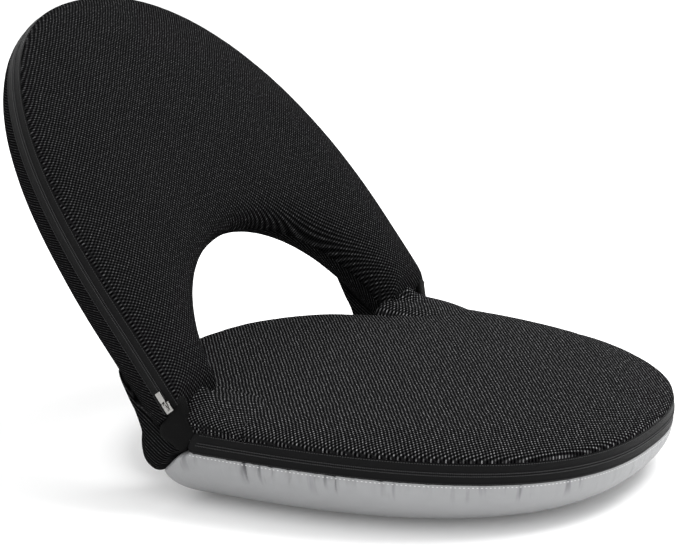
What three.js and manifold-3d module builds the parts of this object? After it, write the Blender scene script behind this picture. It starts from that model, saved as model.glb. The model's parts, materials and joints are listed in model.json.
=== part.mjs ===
// Folding floor chair: a padded half-oval seat and a padded arch backrest, joined by two ratchet hinges.
// Millimetres, +Z up, the seat's front towards -Y, origin at the middle of the seat's flat underside.
import * as THREE from "three";
import { mergeVertices } from "three/addons/utils/BufferGeometryUtils.js";
import Module from "manifold-3d";

const wasm = await Module();
wasm.setup();

// Seat pad
const SEAT_MARGIN = 6;
const SEAT_FORWARD = 367;
const SEAT_BEHIND = 29.5;
const SEAT_FRONT_ROUNDNESS = 2.43;
const SEAT_REAR_ROUNDNESS = 6;
const BASE_HEIGHT = 60;
const BASE_TUCK = 79;
const BASE_REAR_TUCK = 14;
const SEAT_CROWN = 14.5;
const SEAT_CROWN_INSET = 53;
const SEAT_REAR_CROWN_INSET = 25;
const SEAT_DOME = 4;
const SEAT_DROOP = 11.5;
const SEAT_DOME_CENTRE = 165;
const DOME_SHARES = [0.6, 0.25];
const LOBE_CLEARANCE = 8;
const LOBE_TUCK = 50;
const LOBE_CROWN_INSET = 28;
const LOBE_ROOT = 60;

// Backrest pad, its lengths counted from the hinge axis
const BACK_HALF_WIDTH = 274;
const BACK_LENGTH = 490;
const BACK_WIDEST = 135;
const BACK_ROUNDNESS = 2.23;
const BACK_CROWN = 13.5;
const BACK_CROWN_INSET = 38;
const BACK_DOME = 7;
const BACK_REAR_DEPTH = 30.5;
const BACK_REAR_INSET = 30;
const LEG_WIDTH = 82;
const WINDOW_TOP = 184;
const WINDOW_SPRING = 24;
const WINDOW_ROUNDNESS = 1.9;
const WINDOW_EDGE_ROUND = 40;
const BACK_BOW = 8;
const BACK_RAISE_DEG = 50;

// Covers, zip bands and gaps
const BAND_HEIGHT = 24;
const COVER = 2;
const GAP = 0.3;
const COIL_HEIGHT = 5;
const COIL_PROUD = 1.2;

// Hinge line and the crease that the folded pads close on
const HINGE_PROUD = 3.5;
const CREASE_DEG = 15;
const CREASE_GAP = 1;
const CREASE_LEAD = 27;
const CREASE_SOFTENING = 18;
const LEG_END = 31;
const LEG_LIP = 6;
const FOAM_LIP = 14;
const POCKET_RADIUS = 36;
const POCKET_WIDTH = 22;
const POCKET_OUTWARD = 1;
const CHANNEL_ROOM = 3;
const SEAT_CHANNEL_START = 18;
const SEAT_CHANNEL_TOP = 14;
const BACK_CHANNEL_LEAD = 2;
const BACK_CHANNEL_ROOM = 1;
const BACK_CHANNEL_FLARE = 4;

// Mesh boots behind the hinges: their outline round the corner, in [y, z] from the axis
const GUSSET_FOOT = 53.5;
const GUSSET_BULGE = [
  [46, -53.5],
  [58, -50.5],
  [67, -43],
  [73, -32],
  [76, -20],
];
const GUSSET_LAP = 58;
const GUSSET_INNER_ROOM = 3;
const GUSSET_OUTER_ROOM = 8;
const GUSSET_END_SHARE = 0.7;
const GUSSET_STEPS = 6;

// Steel frame
const TUBE_RADIUS = 8;
const TUBE_WALL = 1;
const BAR_RADIUS = 6;
const TONGUE = 4;
const TONGUE_HEIGHT = 14;
const TONGUE_IN_TUBE = 6;
const SEAT_TUBE_DROP = 22;
const SEAT_TUBE_START = 86;
const SEAT_TUBE_INSET = 53;
const SEAT_TUBE_ROUNDNESS = 2.3;
const SEAT_REAR_BAR = 112;
const SEAT_FRONT_BAR_INSET = 145;
const BACK_TUBE_SINK = 12;
const BACK_TUBE_START = 80;
const BACK_TUBE_INSET = 42;
const BACK_LOWER_BAR_RISE = 28;
const BACK_UPPER_BAR_INSET = 150;

// Ratchet hinge
const PLATE = 4;
const CHEEK = 2;
const CHEEK_GAP = 0.5;
const CHEEK_RADIUS = 14.5;
const CHEEK_END = 74;
const CHEEK_END_RADIUS = 9;
const TOOTH_ROOT = 10.2;
const TOOTH_TIP = 12;
const TOOTH_PITCH_DEG = 10;
const TOOTH_COUNT = 16;
const FIRST_VALLEY_DEG = 86.6;
const PIVOT_RADIUS = 4;
const PIVOT_HEAD = 7.5;
const RIVET_RADIUS = 2.5;
const RIVET_HEAD = 4.5;
const RIVET_HEAD_HEIGHT = 1.5;
const RIVET_HEAD_TAPER = 0.8;
const SEAT_RIVETS = [46, 66];
const BACK_RIVETS = [50, 68];
const PAWL_PIN = { y: -19.9, z: -9.3 };
const PAWL_PIN_RADIUS = 2;
const PAWL_PIN_HEAD = 3.6;
const PAWL_BOSS = 4.2;
const PAWL_BACK = [
  [-6.2, -10.7],
  [-8.7, -12.4],
  [-12, -11.6],
];
const PAWL_TOE = [
  [-6.2, -16.6],
  [-6.45, -13.7],
];
const SPRING_STRIP = 0.8;
const SPRING_WIDTH = 3.2;
const SPRING_LINE = [
  [-36.4, -17],
  [-30, -20.2],
  [-22, -18.4],
  [-12, -16.2],
];
const CHEEK_WAIST = 3;
const CHEEK_RIM_DEG = [110, -95];
const CHEEK_WAIST_DEG = [275, 262];
const CHEEK_END_DEG = [268, 106];
const PAWL_BOSS_DEG = [50, 255];
const ARM_LOWER_RIM_DEG = [255, 285];
const ARM_UPPER_RIM_DEG = [40, 75];
const ARM_LOWER_START = 4;
const ARM_UPPER_START = 6;

// Zip sliders and their pulls
const SLIDER_LENGTH = 11;
const SLIDER_WIDTH = 9;
const SLIDER_HEIGHT = 2.6;
const BRIDGE_HEIGHT = 3.2;
const BRIDGE_BAR = 1.2;
const BRIDGE_WIDTH = 2.4;
const BRIDGE_INSET = 2;
const PULL_PIVOT = [3.6, -1.2];
const PULL_BAR = 1;
const PULL_ARM = 5.6;
const PULL_TAB = 11;
const PULL_WIDTH = 6.5;
const BACK_SLIDER_AT = 38;
const BACK_SLIDER_TRAVEL = 80;
const SEAT_SLIDER_AT = 14;

// How finely curves are cut
const SEAT_SIDES = 40;
const LOBE_SIDES = 22;
const BASE_STEPS = 4;
const BACK_STEPS = 30;
const CURVE_STEPS = 3;
const BEND_STEPS = 12;
const ARCH_FINENESS = 240;
const TUBE_BENDS = 22;
const TUBE_SIDES = 8;
const TUBE_STEPS = 24;
const HOLE_SIDES = 8;
const POCKET_SIDES = 24;

// Sizes worked out from those above
const RAD = Math.PI / 180;
const SEAT_HALF_WIDTH = BACK_HALF_WIDTH - SEAT_MARGIN;
const WINDOW_HALF_WIDTH = BACK_HALF_WIDTH - LEG_WIDTH;
const CREASE_INNER = WINDOW_HALF_WIDTH - CREASE_LEAD;
const SEAT_TUBE_REACH = SEAT_FORWARD - SEAT_TUBE_INSET - SEAT_TUBE_START;
const SEAT_FRONT_BAR = SEAT_FORWARD - SEAT_FRONT_BAR_INSET;
const BACK_LOWER_BAR = WINDOW_TOP + BACK_LOWER_BAR_RISE;
const BACK_UPPER_BAR = BACK_LENGTH - BACK_UPPER_BAR_INSET;
const BAND_TOP = BASE_HEIGHT + BAND_HEIGHT;
const AXIS_Z = BAND_TOP + HINGE_PROUD;
const LOBE_REACH = WINDOW_TOP - LOBE_CLEARANCE;
const AXIS_Y = (SEAT_FORWARD - BASE_TUCK - (LOBE_REACH - LOBE_TUCK)) / 2;
const FLOOR = -AXIS_Z;
const BAND_LOW = FLOOR + BASE_HEIGHT;
const BAND_HIGH = -HINGE_PROUD;
const BACK_BAND_REAR = -HINGE_PROUD - BAND_HEIGHT;
const BACK_REAR = BACK_BAND_REAR - BACK_REAR_DEPTH;
const BACK_FRONT = -HINGE_PROUD + BACK_CROWN;
const BAND_MIDDLE = -HINGE_PROUD - BAND_HEIGHT / 2;
const BACK_TUBE_X = (WINDOW_HALF_WIDTH + BACK_HALF_WIDTH) / 2;
const RATCHET_X = BACK_TUBE_X - TONGUE / 2 - GAP - PLATE / 2;
const CREASE_SLOPE = Math.tan(CREASE_DEG * RAD);
const FAR = 700;

const mesh_black = new THREE.MeshStandardMaterial({ color: 0x26262a, roughness: 0.95 });
const tape_black = new THREE.MeshStandardMaterial({ color: 0x1c1c1f, roughness: 0.7 });
const coil_black = new THREE.MeshStandardMaterial({ color: 0x2a2a2c, roughness: 0.45 });
const base_silver = new THREE.MeshStandardMaterial({ color: 0xa9abad, roughness: 0.5 });
const foam_grey = new THREE.MeshStandardMaterial({ color: 0xb9b4a8, roughness: 1 });
const steel_black = new THREE.MeshStandardMaterial({ color: 0x17181a, roughness: 0.4, metalness: 0.6 });
const steel_zinc = new THREE.MeshStandardMaterial({ color: 0x9a9da1, roughness: 0.35, metalness: 1 });
const nickel = new THREE.MeshStandardMaterial({ color: 0xc9c9c6, roughness: 0.25, metalness: 1 });

// A closed geometry as a solid whose faces point out
function solid(geometry) {
  const bare = geometry.clone();
  bare.deleteAttribute("normal");
  bare.deleteAttribute("uv");
  const merged = mergeVertices(bare, 1e-4);
  const triVerts = new Uint32Array(merged.index.array);
  const vertProperties = new Float32Array(merged.attributes.position.array);
  const made = new wasm.Manifold(new wasm.Mesh({ numProp: 3, vertProperties, triVerts }));
  if (made.volume() > 0) return made;
  for (let i = 0; i < triVerts.length; i += 3) {
    [triVerts[i + 1], triVerts[i + 2]] = [triVerts[i + 2], triVerts[i + 1]];
  }
  return new wasm.Manifold(new wasm.Mesh({ numProp: 3, vertProperties, triVerts }));
}

// A solid as a geometry to draw
function geometryOf(body) {
  const made = body.getMesh();
  const geometry = new THREE.BufferGeometry();
  geometry.setAttribute("position", new THREE.BufferAttribute(made.vertProperties, 3));
  geometry.setIndex(new THREE.BufferAttribute(made.triVerts, 1));
  geometry.computeVertexNormals();
  return geometry;
}

function joined(bodies) {
  return bodies.reduce((whole, body) => whole.add(body));
}

function cut(body, cutters) {
  return cutters.reduce((left, cutter) => left.subtract(cutter), body);
}

// A box between two corners
function block(low, high) {
  const size = high.map((value, i) => value - low[i]);
  const middle = high.map((value, i) => (value + low[i]) / 2);
  return solid(new THREE.BoxGeometry(...size).translate(...middle));
}

// How far the backrest bows forwards, at a distance from the hinge axis
function bow(y) {
  const middle = BACK_LENGTH / 2;
  return BACK_BOW * Math.max(0, 1 - ((y - middle) / middle) ** 2);
}

// How far the seat pad droops towards its front, as a negative height
function droop(y) {
  return -SEAT_DROOP * (Math.min(0, y) / SEAT_FORWARD) ** 2;
}

// A skin over a row of rings with the same number of points, closed at both ends
function loft(rings) {
  const count = rings[0].length;
  const points = rings.flat();
  const faces = [];
  for (let r = 0; r + 1 < rings.length; r++) {
    for (let i = 0; i < count; i++) {
      const j = (i + 1) % count;
      const [a, b, c, d] = [r * count + i, r * count + j, (r + 1) * count + j, (r + 1) * count + i];
      faces.push(a, b, c, a, c, d);
    }
  }
  [0, rings.length - 1].forEach((r) => {
    const middle = new THREE.Vector3();
    rings[r].forEach((point) => middle.addScaledVector(point, 1 / count));
    points.push(middle);
    for (let i = 0; i < count; i++) {
      const [a, b] = [r * count + i, r * count + ((i + 1) % count)];
      faces.push(points.length - 1, ...(r === 0 ? [b, a] : [a, b]));
    }
  });
  const geometry = new THREE.BufferGeometry().setFromPoints(points);
  geometry.setIndex(faces);
  return solid(geometry);
}

// A flat outline in the side view, given as [y, z] points, as thick as from one x to the other
function plate(outline, fromX, toX, holes = []) {
  const shape = new THREE.Shape(outline.map(([y, z]) => new THREE.Vector2(y, z)));
  holes.forEach(([y, z, radius]) => {
    const round = circle(y, z, radius / Math.cos(Math.PI / HOLE_SIDES), HOLE_SIDES);
    shape.holes.push(new THREE.Path(round.map((p) => new THREE.Vector2(...p))));
  });
  const geometry = new THREE.ExtrudeGeometry(shape, { depth: toX - fromX, bevelEnabled: false });
  const side = new THREE.Matrix4().makeBasis(
    new THREE.Vector3(0, 1, 0),
    new THREE.Vector3(0, 0, 1),
    new THREE.Vector3(1, 0, 0),
  );
  return solid(geometry.applyMatrix4(side).translate(fromX, 0, 0));
}

// The space between two heights that follow a bend along y, as wide as the whole chair
function slab(low, high, bend) {
  const reach = Math.max(SEAT_FORWARD, BACK_LENGTH);
  const stops = Array.from({ length: 2 * BEND_STEPS + 1 }, (_, i) => reach * (i / BEND_STEPS - 1));
  const line = (z) => [-FAR, ...stops, FAR].map((y) => [y, z + bend(y)]);
  return plate([...line(low), ...line(high).reverse()], -FAR, FAR);
}

function arc(y, z, radius, fromDeg, toDeg, steps) {
  return Array.from({ length: steps + 1 }, (_, i) => {
    const angle = (fromDeg + ((toDeg - fromDeg) * i) / steps) * RAD;
    return [y + radius * Math.cos(angle), z + radius * Math.sin(angle)];
  });
}

function polar(radius, degrees) {
  return [radius * Math.cos(degrees * RAD), radius * Math.sin(degrees * RAD)];
}

function circle(y, z, radius, sides) {
  return arc(y, z, radius, 0, 360, sides).slice(0, sides);
}

// A point on a rounded outline: half-width and reach, with the given roundness
function ovalPoint(angle, half, reach, roundness) {
  const power = 2 / roundness;
  const across = Math.sign(Math.cos(angle)) * Math.abs(Math.cos(angle)) ** power;
  return [half * across, reach * Math.abs(Math.sin(angle)) ** power];
}

// The seat pad's outline at a height: a half oval in front, a short squarish one behind
function seatRing(z, inset, rearInset) {
  return Array.from({ length: SEAT_SIDES }, (_, i) => {
    const angle = (2 * Math.PI * i) / SEAT_SIDES;
    const rear = i > 0 && i < SEAT_SIDES / 2;
    const roundness = rear ? SEAT_REAR_ROUNDNESS : SEAT_FRONT_ROUNDNESS;
    const reach = rear ? SEAT_BEHIND - rearInset : -(SEAT_FORWARD - inset);
    const [x, y] = ovalPoint(angle, SEAT_HALF_WIDTH - inset, reach, roundness);
    return new THREE.Vector3(x, y, z);
  });
}

// The outline of the lobe between the legs, which fills the backrest's window when the chair lies flat
function lobeRing(z, inset) {
  const half = WINDOW_HALF_WIDTH - LOBE_CLEARANCE - inset;
  const reach = LOBE_REACH - WINDOW_SPRING - inset;
  const rear = Array.from({ length: LOBE_SIDES + 1 }, (_, i) => {
    const [x, y] = ovalPoint((Math.PI * i) / LOBE_SIDES, half, reach, WINDOW_ROUNDNESS);
    return new THREE.Vector3(x, WINDOW_SPRING + y, z);
  });
  const root = [-half, half].map((x) => new THREE.Vector3(x, -LOBE_ROOT, z));
  return [...rear, ...root];
}

// How far a skin of this depth steps in and down on a quarter oval, at an angle on it
function skinStep(angle, inset, height, skin) {
  const across = height * Math.cos(angle);
  const up = inset * Math.sin(angle);
  const size = Math.hypot(across, up);
  return { across: (skin * across) / size, up: (skin * up) / size };
}

// A pad's rings from the floor to the top of the crown, all over drawn in by the depth of a skin
function padRings(skin, tucks, crownInsets, ring) {
  const rings = [];
  const push = (angle, insets, height, heightAt) => {
    const step = skinStep(angle, insets[0], height, skin);
    const drawn = insets.map((inset) => inset * (1 - Math.cos(angle)) + step.across);
    const z = heightAt(height * Math.sin(angle), step.up);
    const share = Math.min(1, (z - FLOOR) / BASE_HEIGHT);
    rings.push(ring(z, ...drawn).map((point) => point.setZ(z + share * droop(point.y))));
  };
  for (let i = BASE_STEPS; i >= 0; i--) {
    const angle = (i / BASE_STEPS) * (Math.PI / 2);
    push(angle, tucks, BASE_HEIGHT, (fall, up) => BAND_LOW - fall + up);
  }
  for (let i = 0; i <= CURVE_STEPS; i++) {
    const angle = (i / CURVE_STEPS) * (Math.PI / 2);
    push(angle, crownInsets, SEAT_CROWN, (rise, up) => BAND_HIGH + rise - up);
  }
  return rings;
}

// The seat pad with its lobe, drawn in all over by the depth of a skin
function seatBody(skin) {
  const tucks = [BASE_TUCK, BASE_REAR_TUCK];
  const rings = padRings(skin, tucks, [SEAT_CROWN_INSET, SEAT_REAR_CROWN_INSET], seatRing);
  const top = rings[rings.length - 1];
  const middle = new THREE.Vector3(0, -SEAT_DOME_CENTRE, 0);
  const crown = BAND_HIGH + SEAT_CROWN - skin;
  DOME_SHARES.forEach((share) => {
    const rise = SEAT_DOME * (1 - share * share);
    const ring = top.map((point) => middle.clone().lerp(point, share));
    rings.push(ring.map((point) => point.setZ(crown + rise + droop(point.y))));
  });
  const lobe = loft(padRings(skin, [LOBE_TUCK], [LOBE_CROWN_INSET], lobeRing));
  return cut(loft(rings).add(lobe), seatCreases(skin));
}

// Room in the seat pad's top for the backrest's legs to fold down into, on both sides
function seatCreases(skin) {
  const low = -CREASE_GAP - skin;
  const outline = (raise) => [
    [FAR, low + raise],
    [0, low + raise],
    [-SEAT_FORWARD, low + raise + SEAT_FORWARD * CREASE_SLOPE],
    [FAR, low + raise + FAR],
  ];
  const inner = CREASE_INNER - skin;
  const places = [
    [inner, CREASE_SOFTENING],
    [inner + CREASE_SOFTENING, 0],
    [FAR, 0],
  ];
  return [-1, 1].map((side) =>
    loft(places.map(([x, raise]) => outline(raise).map(([y, z]) => new THREE.Vector3(side * x, y, z)))),
  );
}

// Backrest outlines from the foot of a leg, over the top, to the foot of the other leg
function archPoints(half, widest, length, roundness, foot) {
  const points = [new THREE.Vector2(-half, foot)];
  for (let i = 0; i <= ARCH_FINENESS; i++) {
    const [x, y] = ovalPoint(Math.PI * (1 - i / ARCH_FINENESS), half, length - widest, roundness);
    points.push(new THREE.Vector2(x, widest + y));
  }
  points.push(new THREE.Vector2(half, foot));
  const path = new THREE.CurvePath();
  for (let i = 0; i + 1 < points.length; i++) {
    path.add(new THREE.LineCurve(points[i], points[i + 1]));
  }
  return path;
}

const outerArch = archPoints(BACK_HALF_WIDTH, BACK_WIDEST, BACK_LENGTH, BACK_ROUNDNESS, 0);
const windowArch = archPoints(WINDOW_HALF_WIDTH, WINDOW_SPRING, WINDOW_TOP, WINDOW_ROUNDNESS, 0);

// The backrest pad's section from its outer edge to the window, as [across, up] points
function backProfile(width, skin) {
  const points = [];
  const quarter = (inset, height, turn, place, first = 0) => {
    for (let i = first; i <= CURVE_STEPS; i++) {
      const angle = turn(((i / CURVE_STEPS) * Math.PI) / 2);
      const step = skinStep(angle, inset, height, skin);
      const across = inset * (1 - Math.cos(angle)) + step.across;
      points.push(place(across, height * Math.sin(angle) - step.up));
    }
  };
  const rising = (angle) => angle;
  const falling = (angle) => Math.PI / 2 - angle;
  const dome = BACK_DOME * Math.min(1, (width / (BACK_LENGTH - WINDOW_TOP)) ** 2);
  const middle = (BACK_FRONT + BACK_REAR) / 2;
  const half = (BACK_FRONT - BACK_REAR) / 2;
  quarter(BACK_CROWN_INSET, BACK_CROWN, rising, (across, up) => [across, BAND_HIGH + up]);
  points.push([(BACK_CROWN_INSET + width - WINDOW_EDGE_ROUND) / 2, BACK_FRONT + dome - skin]);
  quarter(WINDOW_EDGE_ROUND, half, falling, (across, up) => [width - across, middle + up]);
  quarter(WINDOW_EDGE_ROUND, half, rising, (across, up) => [width - across, middle - up], 1);
  quarter(BACK_REAR_INSET, BACK_REAR_DEPTH, falling, (across, up) => [across, BACK_BAND_REAR - up]);
  return points;
}

// The backrest pad, drawn in all over by the depth of a skin
function backBody(skin) {
  const rings = [];
  for (let i = 0; i <= BACK_STEPS; i++) {
    const outer = outerArch.getPointAt(i / BACK_STEPS);
    const inner = windowArch.getPointAt(i / BACK_STEPS);
    const width = outer.distanceTo(inner);
    const across = inner.clone().sub(outer).normalize();
    const ring = backProfile(width, skin).map(([s, q]) => {
      const y = outer.y + across.y * s;
      return new THREE.Vector3(outer.x + across.x * s, y, q + bow(y));
    });
    rings.push(ring);
  }
  const low = -CREASE_GAP - skin;
  const crease = plate(
    [
      [-FAR, low],
      [0, low],
      [FAR, low + FAR * CREASE_SLOPE],
      [-FAR, low + FAR],
    ],
    -FAR,
    FAR,
  );
  const ends = [
    block([-FAR, -FAR, -FAR], [FAR, LEG_END, -CREASE_GAP / 2]),
    block([-FAR, -FAR, -FAR], [FAR, LEG_LIP, FAR]),
  ];
  return cut(loft(rings), [crease, ...ends]);
}

// The side of the backrest nearer to the window, where no zip band runs
function windowSide(gap) {
  const edge = [];
  for (let i = 0; i <= BACK_STEPS; i++) {
    const outer = outerArch.getPointAt(i / BACK_STEPS);
    const inner = windowArch.getPointAt(i / BACK_STEPS);
    edge.push(inner.clone().lerp(outer, 1 / 2 + gap / outer.distanceTo(inner)));
  }
  edge.unshift(edge[0].clone().setY(-LEG_END));
  edge.push(edge[edge.length - 1].clone().setY(-LEG_END));
  const shape = new THREE.Shape(edge);
  const geometry = new THREE.ExtrudeGeometry(shape, { depth: 2 * FAR, bevelEnabled: false });
  return solid(geometry.translate(0, 0, -FAR));
}

// Room around each ratchet hinge
function pockets() {
  return [-1, 1].map((side) => {
    const from = side * (RATCHET_X + POCKET_OUTWARD) - POCKET_WIDTH / 2;
    return plate(circle(0, 0, POCKET_RADIUS, POCKET_SIDES), from, from + POCKET_WIDTH);
  });
}

// A tube or rod of the given radius along a path; a wall makes it hollow
function alongPath(path, radius, wall, steps) {
  const shape = new THREE.Shape(polygon(radius));
  if (wall) shape.holes.push(new THREE.Path(polygon(radius - wall)));
  return solid(new THREE.ExtrudeGeometry(shape, { steps, extrudePath: path, bevelEnabled: false }));
}

function polygon(radius) {
  return Array.from({ length: TUBE_SIDES }, (_, i) => {
    const angle = ((i + 0.5) / TUBE_SIDES) * 2 * Math.PI;
    return new THREE.Vector2(radius * Math.cos(angle), radius * Math.sin(angle));
  });
}

const SEAT_TUBE_X = RATCHET_X;
const BACK_TUBE_REACH = BACK_LENGTH - BACK_TUBE_INSET - BACK_WIDEST;

function seatTubePath() {
  const points = [];
  for (let i = 0; i <= TUBE_BENDS; i++) {
    const angle = Math.PI * (1 - i / TUBE_BENDS);
    const [x, y] = ovalPoint(angle, SEAT_TUBE_X, SEAT_TUBE_REACH, SEAT_TUBE_ROUNDNESS);
    points.push(new THREE.Vector3(x, -SEAT_TUBE_START - y, -SEAT_TUBE_DROP));
  }
  return new THREE.CatmullRomCurve3(points, false, "centripetal");
}

function backTubePath() {
  const points = [new THREE.Vector3(-BACK_TUBE_X, BACK_TUBE_START, -BACK_TUBE_SINK)];
  for (let i = 0; i <= TUBE_BENDS; i++) {
    const angle = Math.PI * (1 - i / TUBE_BENDS);
    const [x, y] = ovalPoint(angle, BACK_TUBE_X, BACK_TUBE_REACH, BACK_ROUNDNESS);
    points.push(new THREE.Vector3(x, BACK_WIDEST + y, -BACK_TUBE_SINK));
  }
  points.push(new THREE.Vector3(BACK_TUBE_X, BACK_TUBE_START, -BACK_TUBE_SINK));
  return new THREE.CatmullRomCurve3(points, false, "centripetal");
}

// Half the clear width between the two sides of a bent tube, at a distance past its straight ends
function tubeHalfWidth(half, reach, roundness, past) {
  return half * (1 - Math.min(1, Math.max(0, past / reach)) ** roundness) ** (1 / roundness);
}

function bar(half, y, z, radius, wall) {
  const path = new THREE.LineCurve3(new THREE.Vector3(-half, y, z), new THREE.Vector3(half, y, z));
  return alongPath(path, radius, wall, 1);
}

// The flattened ends of a bent tube, which the hinge plates are riveted to
function tongues(x, fromY, toY, z, holes) {
  return [-1, 1].map((side) => {
    const low = z - TONGUE_HEIGHT / 2;
    const high = z + TONGUE_HEIGHT / 2;
    const outline = [
      [fromY, low],
      [toY, low],
      [toY, high],
      [fromY, high],
    ];
    const rounds = holes.map((y) => [y, z, RIVET_RADIUS + GAP]);
    return plate(outline, side * x - TONGUE / 2, side * x + TONGUE / 2, rounds);
  });
}

// A headed rivet whose shank runs along x between two faces
function rivet(x, y, z, radius, head, length) {
  const half = length / 2 + GAP;
  const profile = [
    [0, -half - RIVET_HEAD_HEIGHT],
    [head * RIVET_HEAD_TAPER, -half - RIVET_HEAD_HEIGHT],
    [head, -half],
    [radius, -half],
    [radius, half],
    [head, half],
    [head * RIVET_HEAD_TAPER, half + RIVET_HEAD_HEIGHT],
    [0, half + RIVET_HEAD_HEIGHT],
  ].map(([r, along]) => new THREE.Vector2(r, along));
  const geometry = new THREE.LatheGeometry(profile, TUBE_SIDES);
  return solid(geometry.rotateZ(-Math.PI / 2).translate(x, y, z));
}

const chair = new THREE.Group();
const seat = new THREE.Group();
const back = new THREE.Group();
seat.position.set(0, AXIS_Y, AXIS_Z);
back.position.set(0, AXIS_Y, AXIS_Z);
back.rotation.x = BACK_RAISE_DEG * RAD;
chair.add(seat, back);

function place(group, name, body, material) {
  const mesh = new THREE.Mesh(geometryOf(body), material);
  mesh.name = name;
  group.add(mesh);
}

// Seat: silver base, zip band with its coil, mesh rear band, mesh top and foam
function makeSeatPad() {
  const outside = seatBody(0);
  const shell = cut(outside, [seatBody(COVER), ...pockets()]);
  const forward = block([-FAR, -FAR, -FAR], [FAR, -GAP, FAR]);
  const rearward = block([-FAR, 0, -FAR], [FAR, FAR, FAR]);
  const band = slab(BAND_LOW + GAP / 2, BAND_HIGH - GAP / 2, droop);
  const coilBand = slab(BAND_MIDDLE - COIL_HEIGHT / 2, BAND_MIDDLE + COIL_HEIGHT / 2, droop);
  const under = slab(-FAR, BAND_LOW - GAP / 2, droop);
  const over = slab(BAND_HIGH + GAP / 2, FAR, droop);
  const coil = seatBody(-GAP - COIL_PROUD).subtract(seatBody(-GAP));
  place(seat, "seat_base_cover", shell.intersect(under), base_silver);
  place(seat, "seat_zip_tape", shell.intersect(band).intersect(forward), tape_black);
  place(seat, "seat_zip_coil", coil.intersect(coilBand).intersect(forward), coil_black);
  place(seat, "seat_rear_band", shell.intersect(band).intersect(rearward), mesh_black);
  place(seat, "seat_top_cover", shell.intersect(over), mesh_black);
  place(seat, "seat_foam", cut(seatBody(COVER + GAP), [...pockets(), ...seatChannels()]), foam_grey);
}

// Room in the seat foam for the frame tube, its cross bars and the hinge arms
function seatChannels() {
  const half = TUBE_RADIUS + CHANNEL_ROOM;
  const arm = [
    [-SEAT_CHANNEL_START, SEAT_CHANNEL_TOP],
    [-SEAT_CHANNEL_START, -SEAT_TUBE_DROP - half],
    [-(SEAT_TUBE_START + TONGUE_IN_TUBE), -SEAT_TUBE_DROP - half],
    [-(SEAT_TUBE_START + TONGUE_IN_TUBE), -SEAT_TUBE_DROP + half],
  ];
  const reach = PLATE / 2 + CHEEK_GAP + CHEEK + RIVET_HEAD_HEIGHT + 3 * GAP;
  const arms = [-1, 1].map((side) => plate(arm, side * RATCHET_X - reach, side * RATCHET_X + reach));
  return [alongPath(seatTubePath(), TUBE_RADIUS + GAP, 0, TUBE_STEPS), ...seatBars(GAP, 0), ...arms];
}

function seatBars(grow, wall) {
  return [SEAT_REAR_BAR, SEAT_FRONT_BAR].map((at) => {
    const past = at - SEAT_TUBE_START;
    const half = tubeHalfWidth(SEAT_TUBE_X, SEAT_TUBE_REACH, SEAT_TUBE_ROUNDNESS, past);
    return bar(half, -at, -SEAT_TUBE_DROP, BAR_RADIUS + grow, wall);
  });
}

function makeSeatFrame() {
  const tongueFrom = -SEAT_TUBE_START - TONGUE_IN_TUBE;
  const tongueTo = -SEAT_RIVETS[0] + CHEEK_END_RADIUS;
  const tube = alongPath(seatTubePath(), TUBE_RADIUS, TUBE_WALL, TUBE_STEPS);
  const ends = tongues(SEAT_TUBE_X, tongueFrom, tongueTo, -SEAT_TUBE_DROP, SEAT_RIVETS.map((y) => -y));
  const room = alongPath(seatTubePath(), TUBE_RADIUS + GAP, 0, TUBE_STEPS);
  const [rearBar, frontBar] = seatBars(0, TUBE_WALL);
  place(seat, "seat_frame_tube", joined([tube, ...ends]), steel_black);
  place(seat, "seat_rear_crossbar", rearBar.subtract(room), steel_black);
  place(seat, "seat_front_crossbar", frontBar.subtract(room), steel_black);
}

// Backrest: mesh front and rear covers, zip band with its coil, and foam
function makeBackPad() {
  const shell = cut(backBody(0), [backBody(COVER), ...pockets()]);
  const front = slab(BAND_HIGH + GAP / 2, FAR, bow);
  const rear = slab(-FAR, BACK_BAND_REAR - GAP / 2, bow);
  const inner = windowSide(0);
  const frontHalf = slab(BAND_MIDDLE + GAP / 2, FAR, bow).intersect(inner);
  const rearHalf = slab(-FAR, BAND_MIDDLE - GAP / 2, bow).intersect(inner);
  const band = slab(BACK_BAND_REAR + GAP / 2, BAND_HIGH - GAP / 2, bow);
  const coilBand = slab(BAND_MIDDLE - COIL_HEIGHT / 2, BAND_MIDDLE + COIL_HEIGHT / 2, bow);
  const coil = backBody(-GAP - COIL_PROUD).subtract(backBody(-GAP));
  place(back, "backrest_front_cover", shell.intersect(front.add(frontHalf)), mesh_black);
  place(back, "backrest_rear_cover", shell.intersect(rear.add(rearHalf)), mesh_black);
  place(back, "backrest_zip_tape", cut(shell.intersect(band), [windowSide(GAP)]), tape_black);
  place(back, "backrest_zip_coil", cut(coil.intersect(coilBand), [inner]), coil_black);
  const lip = block([-FAR, -FAR, -FAR], [FAR, FOAM_LIP, FAR]);
  const end = block([-FAR, -FAR, -FAR], [FAR, LEG_END + GAP, CREASE_GAP / 2]);
  const room = [lip, end, ...pockets(), ...backChannels()];
  place(back, "backrest_foam", cut(backBody(COVER + GAP), room), foam_grey);
}

// Room in the backrest foam for the frame tube, its cross bars and the hinge arms
function backChannels() {
  const top = BACK_TUBE_START + TONGUE_IN_TUBE;
  const half = TUBE_RADIUS + BACK_CHANNEL_ROOM;
  const arm = [
    [LEG_END - BACK_CHANNEL_LEAD, -BACK_TUBE_SINK - half],
    [top, -BACK_TUBE_SINK - half],
    [top, -BACK_TUBE_SINK + half],
    [LEG_END - BACK_CHANNEL_LEAD, -BACK_TUBE_SINK + half + BACK_CHANNEL_FLARE],
  ];
  const inward = RATCHET_X - PLATE / 2 - RIVET_HEAD_HEIGHT - 3 * GAP;
  const outward = BACK_TUBE_X + TONGUE / 2 + RIVET_HEAD_HEIGHT + 3 * GAP;
  const arms = [plate(arm, inward, outward), plate(arm, -outward, -inward)];
  return [alongPath(backTubePath(), TUBE_RADIUS + GAP, 0, TUBE_STEPS), ...backBars(GAP, 0), ...arms];
}

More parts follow.
